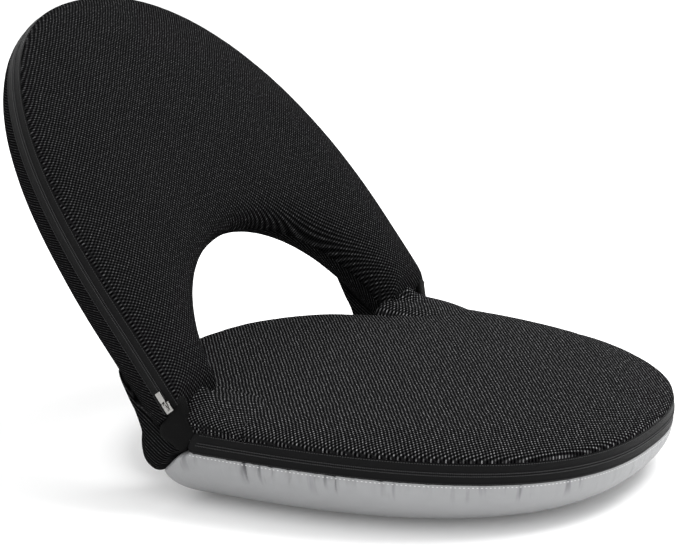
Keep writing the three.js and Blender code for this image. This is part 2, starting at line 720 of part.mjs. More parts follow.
function backBars(grow, wall) {
  return [BACK_LOWER_BAR, BACK_UPPER_BAR].map((at) => {
    const half = tubeHalfWidth(BACK_TUBE_X, BACK_TUBE_REACH, BACK_ROUNDNESS, at - BACK_WIDEST);
    return bar(half, at, -BACK_TUBE_SINK, BAR_RADIUS + grow, wall);
  });
}

function makeBackFrame() {
  const tongueFrom = BACK_RIVETS[0] - CHEEK_END_RADIUS;
  const tongueTo = BACK_TUBE_START + TONGUE_IN_TUBE;
  const tube = alongPath(backTubePath(), TUBE_RADIUS, TUBE_WALL, TUBE_STEPS);
  const ends = tongues(BACK_TUBE_X, tongueFrom, tongueTo, -BACK_TUBE_SINK, BACK_RIVETS);
  const room = alongPath(backTubePath(), TUBE_RADIUS + GAP, 0, TUBE_STEPS);
  const [lowerBar, upperBar] = backBars(0, TUBE_WALL);
  place(back, "backrest_frame_tube", joined([tube, ...ends]), steel_black);
  place(back, "backrest_lower_crossbar", lowerBar.subtract(room), steel_black);
  place(back, "backrest_upper_crossbar", upperBar.subtract(room), steel_black);
}

// The toothed plate: a sector of teeth round the pivot and an arm up the backrest's leg
function toothedOutline() {
  const points = [];
  for (let i = 0; i < TOOTH_COUNT; i++) {
    const valley = FIRST_VALLEY_DEG + i * TOOTH_PITCH_DEG;
    points.push(polar(TOOTH_ROOT, valley));
    if (i + 1 < TOOTH_COUNT) points.push(polar(TOOTH_TIP, valley + TOOTH_PITCH_DEG / 2));
  }
  points.push(...arc(0, 0, TOOTH_ROOT, ...ARM_LOWER_RIM_DEG, 2));
  const end = BACK_RIVETS[1];
  points.push([LEG_END + ARM_LOWER_START, -BACK_TUBE_SINK - TONGUE_HEIGHT / 2]);
  points.push(...arc(end, -BACK_TUBE_SINK, TONGUE_HEIGHT / 2, -90, 90, 6));
  points.push([LEG_END + ARM_UPPER_START, -BACK_TUBE_SINK + TONGUE_HEIGHT / 2]);
  points.push(...arc(0, 0, TOOTH_ROOT, ...ARM_UPPER_RIM_DEG, 2));
  return points;
}

// The cheek plates of the seat side, one each side of the teeth
function cheekOutline() {
  return [
    ...arc(0, 0, CHEEK_RADIUS, ...CHEEK_RIM_DEG, 14),
    ...arc(PAWL_PIN.y, PAWL_PIN.z - CHEEK_WAIST, CHEEK_END_RADIUS, ...CHEEK_WAIST_DEG, 1),
    ...arc(-CHEEK_END, -SEAT_TUBE_DROP, CHEEK_END_RADIUS, ...CHEEK_END_DEG, 6),
  ];
}

function pawlOutline() {
  return [...PAWL_BACK, ...arc(PAWL_PIN.y, PAWL_PIN.z, PAWL_BOSS, ...PAWL_BOSS_DEG, 6), ...PAWL_TOE];
}

function springOutline() {
  return [...SPRING_LINE, ...SPRING_LINE.map(([y, z]) => [y, z - SPRING_STRIP]).reverse()];
}

function makeHinge(side, name) {
  const x = side * RATCHET_X;
  const inner = PLATE / 2 + CHEEK_GAP;
  const seatHoles = [
    [0, 0, PIVOT_RADIUS + GAP],
    [PAWL_PIN.y, PAWL_PIN.z, PAWL_PIN_RADIUS + GAP],
    ...SEAT_RIVETS.map((y) => [-y, -SEAT_TUBE_DROP, RIVET_RADIUS + GAP]),
  ];
  const cheek = (from) => plate(cheekOutline(), x + from, x + from + CHEEK, seatHoles);
  const across = 2 * (inner + CHEEK);
  const outerFrom = side > 0 ? inner : -inner - CHEEK;
  const innerFrom = side > 0 ? -inner - CHEEK : inner;
  place(seat, `${name}_outer_cheek`, cheek(outerFrom), steel_zinc);
  place(seat, `${name}_inner_cheek`, cheek(innerFrom), steel_zinc);
  place(seat, `${name}_pivot_rivet`, rivet(x, 0, 0, PIVOT_RADIUS, PIVOT_HEAD, across), steel_zinc);
  SEAT_RIVETS.forEach((y, i) => {
    const body = rivet(x, -y, -SEAT_TUBE_DROP, RIVET_RADIUS, RIVET_HEAD, across);
    place(seat, `${name}_seat_arm_rivet_${i + 1}`, body, steel_zinc);
  });
  const pin = rivet(x, PAWL_PIN.y, PAWL_PIN.z, PAWL_PIN_RADIUS, PAWL_PIN_HEAD, across);
  place(seat, `${name}_pawl_pin`, pin, steel_zinc);
  const pawlHole = [[PAWL_PIN.y, PAWL_PIN.z, PAWL_PIN_RADIUS + GAP]];
  const pawl = plate(pawlOutline(), x - PLATE / 2, x + PLATE / 2, pawlHole);
  place(seat, `${name}_pawl`, pawl, steel_zinc);
  const spring = plate(springOutline(), x - SPRING_WIDTH / 2, x + SPRING_WIDTH / 2);
  place(seat, `${name}_pawl_spring`, spring, steel_zinc);
  const armHoles = [
    [0, 0, PIVOT_RADIUS + GAP],
    ...BACK_RIVETS.map((y) => [y, -BACK_TUBE_SINK, RIVET_RADIUS + GAP]),
  ];
  const toothed = plate(toothedOutline(), x - PLATE / 2, x + PLATE / 2, armHoles);
  place(back, `${name}_toothed_arm`, toothed, steel_zinc);
  const lap = side * (RATCHET_X + BACK_TUBE_X) / 2;
  BACK_RIVETS.forEach((y, i) => {
    const body = rivet(lap, y, -BACK_TUBE_SINK, RIVET_RADIUS, RIVET_HEAD, PLATE + GAP + TONGUE);
    place(back, `${name}_back_arm_rivet_${i + 1}`, body, steel_zinc);
  });
}

// The mesh boot that closes the corner between the seat's rear face and the foot of the leg
function makeGusset(side, name) {
  const turn = BACK_RAISE_DEG * RAD;
  const [cos, sin] = [Math.cos(turn), Math.sin(turn)];
  const onLeg = (p, q) => [p * cos - q * sin, p * sin + q * cos];
  const wall = SEAT_BEHIND + GAP;
  const foot = LEG_END - GAP;
  const rear = BACK_REAR - GAP;
  const corner = onLeg(foot, (foot * cos - wall) / sin);
  const lap = [onLeg(GUSSET_LAP, rear), onLeg(foot, rear)];
  const outline = [corner, [wall, -GUSSET_FOOT], ...GUSSET_BULGE, ...lap];
  const inner = WINDOW_HALF_WIDTH + GUSSET_INNER_ROOM;
  const outer = BACK_HALF_WIDTH - GUSSET_OUTER_ROOM;
  const rings = Array.from({ length: GUSSET_STEPS + 1 }, (_, i) => {
    const across = (2 * i) / GUSSET_STEPS - 1;
    const share = 1 - (1 - GUSSET_END_SHARE) * across ** 4;
    const x = (side * (inner + outer + across * (outer - inner))) / 2;
    return outline.map(([y, z]) => {
      const [stepY, stepZ] = [share * (y - corner[0]), share * (z - corner[1])];
      return new THREE.Vector3(x, corner[0] + stepY, corner[1] + stepZ);
    });
  });
  const leg = solid(geometryOf(backBody(-GAP)).rotateX(turn));
  const boot = cut(loft(rings), [leg, seatBody(-GAP), ...pockets()]);
  place(seat, `${name}_hinge_gusset`, boot, mesh_black);
}

// A zip slider over the coil, lying along y on the face x = 0 and proud towards +x
function sliderBody() {
  const length = SLIDER_LENGTH / 2;
  const width = SLIDER_WIDTH / 2;
  const rail = BRIDGE_WIDTH / 2;
  const reach = length - BRIDGE_INSET;
  const top = SLIDER_HEIGHT + BRIDGE_HEIGHT;
  const base = block([0, -length, -width], [SLIDER_HEIGHT, length, width]);
  const bridge = block([0, -reach, -rail], [top, reach, rail]);
  const low = [SLIDER_HEIGHT, -reach + BRIDGE_BAR, -width];
  const high = [top - BRIDGE_BAR, reach - BRIDGE_BAR, width];
  return base.add(bridge.subtract(block(low, high)));
}

// Its pull: a crossbar through the bridge, two arms beside the bridge and a flat tab
function pullBody() {
  const [x, y] = PULL_PIVOT;
  const bar = PULL_BAR / 2;
  const inner = BRIDGE_WIDTH / 2 + GAP;
  const outer = inner + PULL_BAR;
  const arms = [-1, 1].map((side) => {
    const low = [x - bar, y - PULL_ARM - bar, Math.min(side * inner, side * outer)];
    const high = [x + bar, y + bar, Math.max(side * inner, side * outer)];
    return block(low, high);
  });
  const crossbar = block([x - bar, y - bar, -outer], [x + bar, y + bar, outer]);
  const half = PULL_WIDTH / 2;
  const tab = block([x - bar, y - PULL_ARM - PULL_TAB, -half], [x + bar, y - PULL_ARM, half]);
  return joined([crossbar, ...arms, tab]);
}

// Both zips have one slider: on the backrest's left side and on the seat's right side
function makeSliders() {
  const onBack = new THREE.Group();
  const rise = bow(BACK_SLIDER_AT + BACK_SLIDER_TRAVEL) - bow(BACK_SLIDER_AT);
  const lift = BAND_MIDDLE + bow(BACK_SLIDER_AT);
  onBack.position.set(-(BACK_HALF_WIDTH + COIL_PROUD + 2 * GAP), BACK_SLIDER_AT, lift);
  onBack.rotation.set(Math.atan2(rise, BACK_SLIDER_TRAVEL), 0, Math.PI);
  const onSeat = new THREE.Group();
  onSeat.position.set(SEAT_HALF_WIDTH + COIL_PROUD + 2 * GAP, -SEAT_SLIDER_AT, BAND_MIDDLE);
  back.add(onBack);
  seat.add(onSeat);
  place(onBack, "backrest_zip_slider", sliderBody(), nickel);
  place(onBack, "backrest_zip_pull", pullBody(), nickel);
  place(onSeat, "seat_zip_slider", sliderBody(), nickel);
  place(onSeat, "seat_zip_pull", pullBody(), nickel);
}

makeSeatPad();
makeSeatFrame();
makeBackPad();
makeBackFrame();
[
  [-1, "left"],
  [1, "right"],
].forEach(([side, name]) => {
  makeHinge(side, name);
  makeGusset(side, name);
});
makeSliders();

export default chair;
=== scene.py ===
import json
import math

import bmesh
import bpy
import numpy as np
from mathutils import Matrix, Vector
from mathutils.kdtree import KDTree


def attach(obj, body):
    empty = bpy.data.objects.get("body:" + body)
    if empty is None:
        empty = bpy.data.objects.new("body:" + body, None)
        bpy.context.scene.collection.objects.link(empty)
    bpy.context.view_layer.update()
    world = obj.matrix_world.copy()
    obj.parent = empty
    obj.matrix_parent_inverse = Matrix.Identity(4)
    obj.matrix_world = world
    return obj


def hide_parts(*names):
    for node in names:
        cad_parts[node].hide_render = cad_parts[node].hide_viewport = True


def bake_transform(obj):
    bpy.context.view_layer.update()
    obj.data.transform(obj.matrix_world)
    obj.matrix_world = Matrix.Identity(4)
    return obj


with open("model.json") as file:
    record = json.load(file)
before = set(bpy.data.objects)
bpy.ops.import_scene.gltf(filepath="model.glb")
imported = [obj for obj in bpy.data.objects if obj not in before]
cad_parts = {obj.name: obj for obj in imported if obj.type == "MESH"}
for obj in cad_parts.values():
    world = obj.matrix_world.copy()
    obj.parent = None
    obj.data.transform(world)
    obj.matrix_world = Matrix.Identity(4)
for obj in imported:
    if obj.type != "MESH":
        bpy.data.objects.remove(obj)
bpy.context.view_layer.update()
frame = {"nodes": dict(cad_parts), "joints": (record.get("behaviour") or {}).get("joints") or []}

# The hinge line, which every size below is counted from
RECLINE = next(j for j in frame["joints"] if j["name"] == "backrest_recline")
AXIS = np.array(RECLINE["pos_m"])
BACK_RAISE = math.radians(50)
FLOOR = -AXIS[2]

# Seat pad
SEAT_HALF_WIDTH = 0.268
SEAT_FORWARD = 0.367
SEAT_BEHIND = 0.0295
FRONT_ROUNDNESS = 2.43
REAR_ROUNDNESS = 6.0
BAND_LOW = -0.0275
BAND_HIGH = -0.0035
BASE_TUCKS = (0.079, 0.014, 0.050)
CROWN_INSETS = (0.053, 0.025, 0.028)
SEAT_CROWN = 0.0145
SEAT_DOME = 0.004
SEAT_DROOP = 0.0115
DOME_CENTRE = -0.165
LOBE_HALF_WIDTH = 0.184
LOBE_REACH = 0.176
LOBE_SPRING = 0.024
LOBE_ROUNDNESS = 1.9
NOTCH_SOFTENING = 24
NOTCH_REACH = 4
NOTCH_STEP = 0.001

# Backrest pad
BACK_HALF_WIDTH = 0.274
BACK_LENGTH = 0.490
BACK_WIDEST = 0.135
BACK_ROUNDNESS = 2.23
BACK_CROWN = 0.0135
BACK_CROWN_INSET = 0.038
BACK_DOME = 0.007
BACK_REAR = -0.058
BACK_REAR_INSET = 0.030
BACK_BOW = 0.008
WINDOW_HALF_WIDTH = 0.192
WINDOW_TOP = 0.184
WINDOW_SPRING = 0.024
WINDOW_ROUNDNESS = 1.9
WINDOW_EDGE_ROUND = 0.040
WINDOW_SEAM = -0.024
PROFILE_SOFTENING = 3
LEG_FOOT = 0.031
LEG_SOFTENING = 0.004

# Where the covers tuck in: behind the bands, and along the window's seam
LIP_INSET = 0.0015
LIP_DEPTH = 0.002
HEM_INSET = 0.006
HEM_DEPTH = 0.008
SEAT_HEM_DEPTH = 0.010
SEAM_INSET = 0.004
SEAM_LAP = 0.001
SEAM_FAR_INSET = 0.008

# Hinge corners, as points (backwards, up) from the hinge line. The first table is the leg's
# front, as (up the leg, proud of its middle).
LEG_ROUNDING = [
    (0.000, -0.020),
    (0.031, -0.011),
    (0.034, -0.0055),
    (0.038, -0.0015),
    (0.043, 0.0030),
    (0.050, 0.0080),
    (0.060, 0.0118),
    (0.072, 0.0145),
    (0.088, 0.0200),
    (0.600, 0.2000),
]
CREASE_SEAT_SIDE = [
    (-0.050, 0.0060),
    (-0.040, 0.0095),
    (-0.028, 0.0128),
    (-0.014, 0.0158),
    (0.000, 0.0178),
    (0.011, 0.0188),
    (0.021, 0.0197),
    (0.030, 0.0212),
]
CREASE_FEET = [
    (-0.050, -0.0050),
    (-0.040, -0.0030),
    (-0.028, 0.0000),
    (-0.014, 0.0025),
    (0.000, 0.0035),
    (0.011, 0.0040),
    (0.021, 0.0045),
    (0.030, 0.0060),
]
CREASE_SUNK = [
    (0.0370, 0.0205),
    (0.0410, 0.0060),
    (0.0240, -0.0130),
    (0.0040, -0.0150),
    (-0.0300, -0.0130),
    (-0.0480, -0.0100),
]
CREASE_SUNK_FEET = [
    (0.0370, 0.0050),
    (0.0410, 0.0030),
] + CREASE_SUNK[2:]
CREASE_COVER = [
    (-0.050, 0.0060),
    (-0.040, 0.0095),
    (-0.028, 0.0128),
    (-0.014, 0.0160),
    (-0.001, 0.0190),
    (0.010, 0.0222),
    (0.018, 0.0265),
    (0.0255, 0.0310),
]
CREASE_COVER_MIDDLE = 0.2285
CREASE_COVER_HALF = 0.026
CREASE_OUTER = 0.2675
CREASE_ROUND = 0.045
CREASE_INNER_END = 0.170
CREASE_FADE = 0.034
CREASE_END = 0.002
CREASE_END_SHRINK = 0.97
BOOT_OUTLINE = [
    (0.027, 0.012),
    (0.025, -0.024),
    (0.036, -0.036),
    (0.048, -0.048),
    (0.058, -0.0555),
    (0.0675, -0.0535),
    (0.0750, -0.0460),
    (0.0785, -0.0350),
    (0.0792, -0.0240),
    (0.0788, -0.0135),
    (0.0825, -0.0020),
    (0.0865, 0.0080),
    (0.0905, 0.0165),
    (0.0954, 0.0244),
    (0.1002, 0.0334),
    (0.1049, 0.0425),
    (0.1072, 0.0484),
    (0.0990, 0.0449),
    (0.0842, 0.0272),
    (0.0600, 0.0100),
    (0.0440, 0.0130),
]
BOOT_FOCUS = (0.056, -0.018)
BOOT_MIDDLE = 0.2300
BOOT_HALF = 0.0362
SIDE_OUTLINE = [
    (0.0285, 0.0315),
    (0.0243, 0.0290),
    (0.0224, 0.0220),
    (0.0204, 0.0140),
    (0.0180, 0.0070),
    (0.0115, -0.0010),
    (0.0080, -0.0080),
    (0.0165, -0.0180),
    (0.0260, -0.0275),
    (0.0370, -0.0215),
    (0.0490, -0.0120),
    (0.0480, -0.0020),
    (0.0410, 0.0080),
    (0.0345, 0.0180),
]
SIDE_FOCUS = (0.030, -0.006)
SIDE_MIDDLE = 0.2600
SIDE_HALF = 0.0082
SIDE_FLARE = 0.0055
FLARE_LIMIT = 1.2
PAD_FULLNESS = 5.0
PAD_END = 0.995

# Zip bands
BAND_BULGE = 0.0008
BAND_EDGE = 0.0010
BAND_DEPTH = 0.006
BAND_SQUARENESS = 4
BAND_TUCK = 0.08
STRIP_INSET = 0.0006
TEETH_PITCH = 0.0018
TEETH_APART = 0.0013
TEETH_PROUD = 0.0010
TEETH_LEAN = 0.45
SEAT_TEETH_TRIM = 0.006
BACK_TEETH_FOOT = 0.046
BACK_ZIP_FOOT = 0.031
SEAT_ZIP_ENDS = (0.0235, 0.0090)
SEAT_STRIP_START = 0.006
STITCH_PITCH = 0.0026
STITCH_SHARE = 0.10
STITCH_PROUD = 0.0004
SEAT_STITCH_TRIM = 0.004
BACK_STITCH_FOOT = 0.034
WHITE_PITCH = 0.0043
WHITE_SHARE = -0.045
WHITE_PROUD = 0.0006
WHITE_TRIM = 0.001

# The silver base's rear corners reach back under the legs
BASE_CORNER_REACH = 0.031
BASE_CORNER_DEPTH = 0.44
BASE_CORNER_ROUNDNESS = 13.0
BASE_CORNER_TURN = 0.12
BASE_DEPTHS = [0, 0.012, 0.03, 0.05, 0.075, 0.1, 0.14, 0.19, 0.25, 0.32, *np.linspace(0.4, 1, 13)]

# Gathered folds: waves as (pitch, phase, strength), and how they vary round the base
GATHER_DEPTH = 0.0034
GATHER_LENGTH = 0.013
GATHER_WAVES = [
    (0.0093, 0.4, 0.60),
    (0.0151, 2.1, 0.80),
    (0.0237, 4.0, 0.50),
    (0.0059, 1.2, 0.35),
]
GATHER_DRIFT = 1.5
GATHER_DRIFT_LENGTH = 0.05
GATHER_FULLEST = 0.35
GATHER_UNEVEN = 0.4
GATHER_PATCHES = (0.083, 0.031)
GATHER_PATCH_PHASE = 1.0
GATHER_FRONT = 0.18
GATHER_SIDE_END = 0.22
GATHER_SIDE_FADE = 0.03
GATHER_AT_EDGE = 0.25
GATHER_RISE = 4

# Metal edges
METAL_EDGE = 0.0005
EDGE_SEGMENTS = 3
MERGE_DISTANCE = 0.00001
FLAT_ANGLE = 0.02
SHARP_ANGLE = 0.5

# Stuffing, pressed out as cloth
SETTLE_VOXEL = 0.006
SETTLE_FRAMES = 20
SETTLE_REACH = 0.0025
CLOTH_QUALITY = 5
CLOTH_MASS = 0.3
CLOTH_STRETCH = 15
CLOTH_SHEAR = 10
CLOTH_BEND = 4
CLOTH_DAMPING = 4
STUFFING_PRESSURE = 4
CARRY_POINTS = 14
CARRY_SOFTNESS = 0.010
SEAT_HELD_ABOVE = 0.004
SEAT_HELD_REAR = -0.055
SEAT_HELD_SIDE = 0.170
BACK_HELD_PAST = 0.003
BACK_HELD_FOOT = 0.075

# How finely surfaces are cut
REAR_CURVE_POINTS = 240
FRONT_CURVE_POINTS = 400
LOBE_CURVE_POINTS = 160
ARCH_CURVE_POINTS = 900
SIDE_POINTS = 640
LOBE_POINTS = 150
CROWN_STEPS = 12
DOME_STEPS = 26
ARCH_STATIONS = 220
FLAT_STEPS = 14
BAND_STATIONS = 420
FACE_POINTS = 9
CREASE_STATIONS = 49
CREASE_CURVE_STEPS = 4
PAD_STATIONS = 25
PAD_CURVE_STEPS = 6
LINE_SAMPLES = 2000
OUTWARD_STEP = 0.001
CAPSULE_STOPS = [(-0.5, 0.35), (-0.36, 0.9), (0, 1.0), (0.36, 0.9), (0.5, 0.35)]

# Cloth finishes: noise as (scale, detail), steps as (from, to), threads in radians to the metre
KNIT_WANDER = 0.0018
KNIT_WANDER_NOISE = (45.0, 2.0)
KNIT_CLOUD_NOISE = (14.0, 3.0)
# The patch noise and KNIT_DULLEST make the stitches' painted highlight stronger and weaker from place to
# place; KNIT_COOLNESS tints it cool.
KNIT_PATCH_NOISE = (260.0, 2.0)
KNIT_PATCH_STEP = (0.38, 0.72)
KNIT_HOLE_STEP = (0.0, 0.7)
KNIT_STITCH_STEP = (-0.40, -0.95)
KNIT_DULLEST = 0.2
KNIT_COOLNESS = 1.02
KNIT_DARK = (0.0080, 0.0080, 0.0084)
KNIT_LIGHT = (0.0125, 0.0125, 0.0130)
KNIT_HOLE = (0.0010, 0.0010, 0.0012)
KNIT_ROUGHNESS = 0.7
KNIT_RELIEF = 0.0008
RIB_BEADS = 0.22
BOOT_RIB_LEAN = math.radians(126.9)
REAR_RIB_LEAN = math.radians(32)
SMOOTH_THREAD_RATE = 9000.0
SMOOTH_CLOUD_NOISE = (60.0, 3.0)
SMOOTH_LIGHTER = 1.5
SMOOTH_ROUGHNESS = 0.6
SMOOTH_GLOSS = 0.08
SMOOTH_RELIEF = 0.0001
SILVER_THREAD_RATE = 7000.0
SILVER_CLOUD_NOISE = (9.0, 4.0)
SILVER_DARK = (0.318, 0.321, 0.328)
SILVER_LIGHT = (0.362, 0.365, 0.373)
# The colour of the painted shade in the base's folds.
SILVER_FOLD_SHADE = (0.090, 0.092, 0.098)
SILVER_ROUGHNESS = 0.46
SILVER_GLOSS = 0.4
SILVER_SHEEN = 0.15
SILVER_RELIEF = 0.00006
# Where the painted shade in the folds falls: streaks drawn down the base, in places, near the stitched
# edge.
FOLD_DRAW = 0.14
FOLD_NOISE = (120.0, 2.0)
FOLD_STEP = (0.54, 0.74)
FOLD_PLACE_NOISE = (17.0, 1.0)
FOLD_PLACE_STEP = (0.34, 0.60)
FOLD_REACH = (0.034, 0.012)
TAPE_RIB_PITCH = 0.0011
TAPE_CROSS_PITCH = 0.0009
TAPE_CROSS_SHARE = 0.5
TAPE_STEP = (-1.2, 1.4)
TAPE_DARK = (0.0014, 0.0014, 0.0016)
TAPE_LIGHT = (0.0058, 0.0058, 0.0063)
TAPE_ROUGHNESS = 0.5
TAPE_GLOSS = 0.1
TAPE_RELIEF = 0.00012

# Hard finishes
FINISH_CLOUD_NOISE = (120.0, 4.0)
FINISH_GRAIN_NOISE = (900.0, 2.0)
FINISH_DARKER = 0.8
FINISH_ROUGH_SPREAD = 0.15
FINISH_ROUGH_DROP = 0.07

# Camera, floor and world
CAMERA_PLACE = (-2.17816, -1.09473, 0.80648)
CAMERA_AZIMUTH = -61.8198
CAMERA_ELEVATION = 14.0563
CAMERA_LENS = 126.51
CAMERA_SENSOR = 36
FLOOR_HALF = 12.0
FLOOR_COLOUR = (0.90, 0.90, 0.90, 1)
FLOOR_GLOW = 0.10
WORLD_SIDES = 0.35
WORLD_OVERHEAD = 1.10


def oval(angle, half, reach, roundness):
    """Points on a rounded outline with the given half-width, reach and roundness."""
    power = 2 / roundness
    cos, sin = np.cos(angle), np.sin(angle)
    return np.stack([half * np.sign(cos) * np.abs(cos) ** power, reach * np.abs(sin) ** power], -1)


def arclength(points):
    """The length run from the start of a line to each of its points."""
    return np.concatenate([[0], np.cumsum(np.linalg.norm(np.diff(points, axis=0), axis=1))])


def picked(points, at, run):
    """The points of a line at places along its run."""
    return np.stack([np.interp(at, run, points[:, i]) for i in range(points.shape[1])], -1)


def evenly(points, count):
    """The same line with points at even distances."""
    run = arclength(points)
    return picked(points, np.linspace(0, run[-1], count), run)


def smooth_line(points, passes):
    """Rounds a line off, with its ends kept."""
    points = points.copy()
    for _ in range(passes):
        points[1:-1] = (points[:-2] + 2 * points[1:-1] + points[2:]) / 4
    return points


def to_part(x, up, proud):
    """From the backrest's own axes to the part's frame at rest."""
    cos, sin = math.cos(BACK_RAISE), math.sin(BACK_RAISE)
    y = AXIS[1] + up * cos - proud * sin
    z = AXIS[2] + up * sin + proud * cos
    return np.stack(np.broadcast_arrays(x, y, z), -1)


def bow(up):
    """How far the backrest bows forwards at a height on it."""
    middle = BACK_LENGTH / 2
    return BACK_BOW * np.maximum(0, 1 - ((up - middle) / middle) ** 2)


def droop(y):
    """How far the seat pad droops towards its front."""
    return -SEAT_DROOP * (np.minimum(0, y) / SEAT_FORWARD) ** 2


def band_height(share):
    """The height from the axis, or from the backrest's middle, at a share of a band's height."""
    return BAND_LOW + share * (BAND_HIGH - BAND_LOW)


def soften_notches(ring):
    """Rounds off the notches where the seat's sides meet its lobe."""
    for _ in range(NOTCH_SOFTENING):
        for at in (0, SIDE_POINTS - 1):
            near = [(at + k) % len(ring) for k in range(-NOTCH_REACH, NOTCH_REACH + 1)]
            before = ring[[(i - 1) % len(ring) for i in near]]
            after = ring[[(i + 1) % len(ring) for i in near]]
            ring[near] = (ring[near] + (before + after) / 2) / 2
    return ring


def seat_outline(inset, rear_inset, lobe_inset, roundness=REAR_ROUNDNESS):
    """The seat's outline in plan from the axis: round the front from notch to notch, then the lobe."""
    half = SEAT_HALF_WIDTH - inset
    lobe_half = LOBE_HALF_WIDTH - lobe_inset
    start = math.acos(min(1, (lobe_half / half) ** (roundness / 2)))
    rear_angles = np.linspace(start, 0, REAR_CURVE_POINTS)
    rear = oval(rear_angles, half, SEAT_BEHIND - rear_inset, roundness)
    front_angles = np.linspace(0, math.pi / 2, FRONT_CURVE_POINTS)
    front = oval(front_angles, half, -(SEAT_FORWARD - inset), FRONT_ROUNDNESS)
    right = np.concatenate([rear, front[1:]])
    side = np.concatenate([right, right[-2::-1] * [-1, 1]])
    notch = side[-1, 1]
    lobe_angles = np.linspace(math.pi, 0, LOBE_CURVE_POINTS)
    cap = oval(lobe_angles, lobe_half, LOBE_REACH - LOBE_SPRING - lobe_inset, LOBE_ROUNDNESS)
    cap[:, 1] += LOBE_SPRING
    cap = cap[cap[:, 1] > notch + NOTCH_STEP]
    lobe = np.concatenate([[side[-1]], cap, [side[0]]])
    ring = np.concatenate([evenly(side, SIDE_POINTS)[:-1], evenly(lobe, LOBE_POINTS)[:-1]])
    return soften_notches(ring)


def seat_ring(insets, height, roundness=REAR_ROUNDNESS):
    """A ring of the seat pad in the part's frame, at a height from the axis and drooping to the front."""
    flat = seat_outline(*insets, roundness)
    share = min(1, (height - FLOOR) / (BAND_LOW - FLOOR))
    z = height + share * droop(flat[:, 1])
    return np.stack([flat[:, 0], AXIS[1] + flat[:, 1], AXIS[2] + z], -1)


def new_piece(name, points, faces, uvs, finish):
    """A mesh object from points, faces and one UV pair for each corner of each face."""
    mesh = bpy.data.meshes.new(name)
    mesh.from_pydata([tuple(p) for p in points], [], faces)
    layer = mesh.uv_layers.new(name="cloth")
    layer.data.foreach_set("uv", np.asarray(uvs, float).ravel())
    mesh.polygons.foreach_set("use_smooth", [True] * len(faces))
    mesh.materials.append(finish)
    piece = bpy.data.objects.new(name, mesh)
    bpy.context.scene.collection.objects.link(piece)
    work = bmesh.new()
    work.from_mesh(mesh)
    bmesh.ops.recalc_face_normals(work, faces=work.faces)
    work.to_mesh(mesh)
    work.free()
    return piece


def skin(name, rings, uv, finish):
    """A closed skin over rings; uv holds one more column than the rings, where they close on themselves."""
    count, size = rings.shape[:2]
    points = list(rings.reshape(-1, 3))
    faces, uvs = [], []
    for r in range(count - 1):
        for i in range(size):
            j = (i + 1) % size
            faces.append((r * size + i, r * size + j, (r + 1) * size + j, (r + 1) * size + i))
            uvs += [uv[r, i], uv[r, i + 1], uv[r + 1, i + 1], uv[r + 1, i]]
    for r in (0, count - 1):
        points.append(rings[r].mean(0))
        pole = uv[r, :size].mean(0)
        for i in range(size):
            j = (i + 1) % size
            faces.append((len(points) - 1, r * size + i, r * size + j))
            uvs += [pole, uv[r, i], uv[r, i + 1]]
    return new_piece(name, points, faces, uvs, finish)


def plan_uv(rings):
    """UV pairs from the rings' first two measures, so that the cloth stretches down over the sides."""
    return np.concatenate([rings, rings[:, :1]], 1)[..., :2]


def band_uv(rings):
    """UV pairs with the length along a band, and the length round its section."""
    along = arclength(rings[:, FACE_POINTS // 2])
    across = arclength(np.concatenate([rings[0], rings[0][:1]]))
    return np.stack(np.broadcast_arrays(along[:, None], across[None, :]), -1)


def quarter(inset, height, steps, rising=True):
    """A quarter oval from its foot to its top, as (across, up)."""
    angle = np.linspace(0, math.pi / 2, steps)
    if not rising:
        angle = angle[::-1]
    return np.stack([inset * (1 - np.cos(angle)), height * np.sin(angle)], -1)


# Materials


def new_material(name):
    """A material with one main shader, as (material, its tree, the shader)."""
    made = bpy.data.materials.new(name)
    made.use_nodes = True
    tree = made.node_tree
    tree.nodes.clear()
    shader = tree.nodes.new("ShaderNodeBsdfPrincipled")
    output = tree.nodes.new("ShaderNodeOutputMaterial")
    tree.links.new(shader.outputs[0], output.inputs[0])
    return made, tree, shader


def maths(tree, operation, *values):
    """A math node over values, which are sockets or numbers."""
    node = tree.nodes.new("ShaderNodeMath")
    node.operation = operation
    for socket, value in zip(node.inputs, values):
        if isinstance(value, bpy.types.NodeSocket):
            tree.links.new(value, socket)
        else:
            socket.default_value = value
    return node.outputs[0]


def times(tree, *values):
    return maths(tree, "MULTIPLY", *values)


def plus(tree, *values):
    return maths(tree, "ADD", *values)


def minus(tree, *values):
    return maths(tree, "SUBTRACT", *values)


def wave(tree, operation, value, rate):
    """A sine or cosine of a length, at a rate in radians to the metre."""
    return maths(tree, operation, times(tree, value, rate))


def cloth_uv(tree):
    """The piece's own UV map, in metres over the cloth."""
    node = tree.nodes.new("ShaderNodeUVMap")
    node.uv_map = "cloth"
    return node.outputs[0]


def split(tree, vector):
    """A vector's first two parts."""
    node = tree.nodes.new("ShaderNodeSeparateXYZ")
    tree.links.new(vector, node.inputs[0])
    return node.outputs[0], node.outputs[1]


def noise(tree, vector, scale, detail):
    """Soft noise over a vector, from 0 to 1."""
    node = tree.nodes.new("ShaderNodeTexNoise")
    node.inputs["Scale"].default_value = scale
    node.inputs["Detail"].default_value = detail
    tree.links.new(vector, node.inputs["Vector"])
    return node.outputs["Fac"]


def between(tree, value, low, high):
    """A smooth step of a value between two limits."""
    node = tree.nodes.new("ShaderNodeMapRange")
    node.interpolation_type = "SMOOTHSTEP"
    node.inputs["From Min"].default_value = low
    node.inputs["From Max"].default_value = high
    tree.links.new(value, node.inputs["Value"])
    return node.outputs["Result"]


def mixed(tree, share, first, second):
    """A colour between two colours, which are sockets or tuples."""
    node = tree.nodes.new("ShaderNodeMix")
    node.data_type = "RGBA"
    tree.links.new(share, node.inputs["Factor"])
    for socket, value in zip((node.inputs[6], node.inputs[7]), (first, second)):
        if isinstance(value, bpy.types.NodeSocket):
            tree.links.new(value, socket)
        else:
            socket.default_value = (*value, 1)
    return node.outputs[2]


